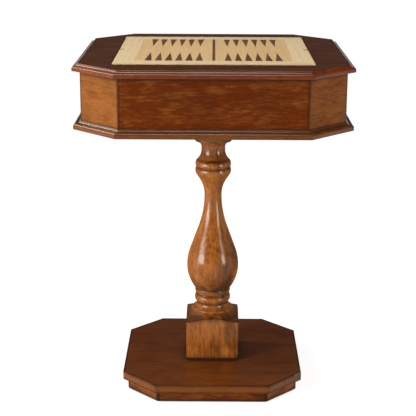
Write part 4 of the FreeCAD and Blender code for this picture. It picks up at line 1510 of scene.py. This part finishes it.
class GAMESTABLE_OT_board(bpy.types.Operator):
    """Makes the lift-out board, with backgammon on one side and chess on the other"""

    bl_idname = "games_table.board"
    bl_label = "Make Board"

    def execute(self, context):
        sizes = context.scene.games_table_sizes
        for node, slot, easing, along in (
            ("board_core", "plywood", 0.0, ALONG_X),
            ("board_lipping", "board_edge", sizes.lipping_easing, None),
            ("backgammon_border", "board_border", sizes.inlay_easing, None),
            ("backgammon_field", "board_field", sizes.inlay_easing, ALONG_Y),
            ("backgammon_bar", "dark_inlay", sizes.inlay_easing, ALONG_Y),
            ("chess_border", "board_border", sizes.inlay_easing, None),
        ):
            timber(node, slot, easing, along, body="game_board")
        self.make_points(sizes)
        self.make_squares(sizes)
        return {"FINISHED"}

    def make_points(self, sizes):
        """The 24 points, from one of the CAD's own turned to stand on its broad end."""
        shape, places = first_solid("backgammon_points")
        xs = sorted({round(spot.x, 5) for spot in places if spot.x > 0})
        own_low = min(vertex.co.y for vertex in shape.verts)
        own_high = max(vertex.co.y for vertex in shape.verts)
        low_reach = max(abs(v.co.x) for v in shape.verts if abs(v.co.y - own_low) < 1.0 * MM)
        outwards = own_low if low_reach > 1.0 * MM else own_high
        for vertex in shape.verts:
            vertex.co.y -= outwards
            vertex.co.z += places[0].z
        if outwards == own_high:
            bmesh.ops.rotate(shape, verts=shape.verts, matrix=Matrix.Rotation(math.pi, 3, "Z"))
        ease_edges(shape, sizes.inlay_easing)
        values = {
            "Point": shape_object("point_pattern", shape),
            "First": xs[0],
            "Pitch": (xs[-1] - xs[0]) / (len(xs) - 1),
            "Count": len(xs),
            "Edge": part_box("backgammon_points")[1].y,
            "Material": finish_of("dark_inlay"),
        }
        piece = run_tree(point_rows_tree(), "backgammon_points_inlay", values)
        weigh_normals(piece)
        settle(piece, "game_board", "dark_inlay", "backgammon_points")

    def make_squares(self, sizes):
        """The 64 squares, from one dark and one light square of the CAD's."""
        tree = chequer_tree()
        low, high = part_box("chess_dark_squares")
        pitch = (high.x - low.x + SQUARE_GAP) / SQUARES_ACROSS
        for node, slot, first_column in (
            ("chess_dark_squares", "chess_dark", 0),
            ("chess_light_squares", "chess_light", 1),
        ):
            shape, places = first_solid(node)
            for vertex in shape.verts:
                vertex.co.z += places[0].z
            ease_edges(shape, sizes.inlay_easing)
            values = {
                "Square": shape_object(f"{node}_pattern", shape),
                "Pitch": pitch,
                "First Column": first_column,
                "Material": finish_of(slot),
            }
            piece = run_tree(tree, f"{node}_inlay", values)
            weigh_normals(piece)
            settle(piece, "game_board", slot, node)


def shape_object(name, shape):
    """A pattern piece that a tree reads, and that isn't itself kept in the scene."""
    mesh = bpy.data.meshes.new(name)
    shape.to_mesh(mesh)
    shape.free()
    return bpy.data.objects.new(name, mesh)


def first_solid(node):
    """One of a node's like solids, centred on the origin, and the middle of each of them."""
    shape = merged_copy(node)
    found = islands(shape)
    places = []
    for island in found:
        low = Vector([min(v.co[i] for v in island) for i in range(3)])
        high = Vector([max(v.co[i] for v in island) for i in range(3)])
        places.append((low + high) / 2)
    for island in found[1:]:
        bmesh.ops.delete(shape, geom=island, context="VERTS")
    for vertex in shape.verts:
        vertex.co -= places[0]
    return shape, places


# Hardware: node, slot and whether each piece is turned by chance, as a screw head is
HARDWARE = (
    ("base_screws", "steel", True),
    ("base_washers", "steel", False),
    ("column_screws", "steel", True),
    ("plate_washers", "steel", False),
    ("plate_bolts", "steel", True),
    ("tee_nuts", "steel", False),
    ("ledge_screws", "steel", True),
    ("floor_glides", "glide", False),
)
MOST_SCREW_TURN = math.radians(60)
SHORTEST_STEEL_EDGE = 0.8 * MM


class GAMESTABLE_OT_hardware(bpy.types.Operator):
    """Sets out the screws, bolts, washers, tee nuts and floor glides"""

    bl_idname = "games_table.hardware"
    bl_label = "Set Out Hardware"

    def execute(self, context):
        sizes = context.scene.games_table_sizes
        tree = set_out_tree()
        for seed, (node, slot, turned) in enumerate(HARDWARE):
            shape, places = first_solid(node)
            ease_edges(shape, sizes.steel_easing, SHORTEST_STEEL_EDGE)
            spots = bpy.data.meshes.new(f"{node}_places")
            spots.from_pydata([tuple(spot) for spot in places], [], [])
            values = {
                "Piece": shape_object(f"{node}_pattern", shape),
                "Places": bpy.data.objects.new(f"{node}_places", spots),
                "Most Turn": MOST_SCREW_TURN if turned else 0.0,
                "Seed": seed,
                "Material": finish_of(slot),
            }
            piece = run_tree(tree, f"{node}_set", values)
            weigh_normals(piece)
            settle(piece, "table", slot, node)
        return {"FINISHED"}


class GAMESTABLE_PT_pieces(bpy.types.Panel):
    """Lists the buttons that make the table's finishes, stage and pieces in the sidebar"""

    bl_idname = "GAMESTABLE_PT_pieces"
    bl_label = "Games Table"
    bl_space_type = "VIEW_3D"
    bl_region_type = "UI"
    bl_category = "Games Table"

    def draw(self, context):
        for operator in OPERATORS:
            self.layout.operator(operator.bl_idname)


OPERATORS = (
    GAMESTABLE_OT_finishes,
    GAMESTABLE_OT_stage,
    GAMESTABLE_OT_base,
    GAMESTABLE_OT_column,
    GAMESTABLE_OT_box,
    GAMESTABLE_OT_mouldings,
    GAMESTABLE_OT_board,
    GAMESTABLE_OT_hardware,
)
CLASSES = (GamesTableSizes, GamesTableColours, *OPERATORS, GAMESTABLE_PT_pieces)


def register():
    for cls in CLASSES:
        bpy.utils.register_class(cls)
    bpy.types.Scene.games_table_sizes = bpy.props.PointerProperty(type=GamesTableSizes)
    bpy.types.Scene.games_table_colours = bpy.props.PointerProperty(type=GamesTableColours)


def unregister():
    del bpy.types.Scene.games_table_colours
    del bpy.types.Scene.games_table_sizes
    for cls in reversed(CLASSES):
        bpy.utils.unregister_class(cls)


def main():
    register()
    bpy.ops.games_table.finishes()
    bpy.ops.games_table.stage()
    bpy.ops.games_table.base()
    bpy.ops.games_table.column()
    bpy.ops.games_table.box()
    bpy.ops.games_table.mouldings()
    bpy.ops.games_table.board()
    bpy.ops.games_table.hardware()


if __name__ == "__main__":
    main()
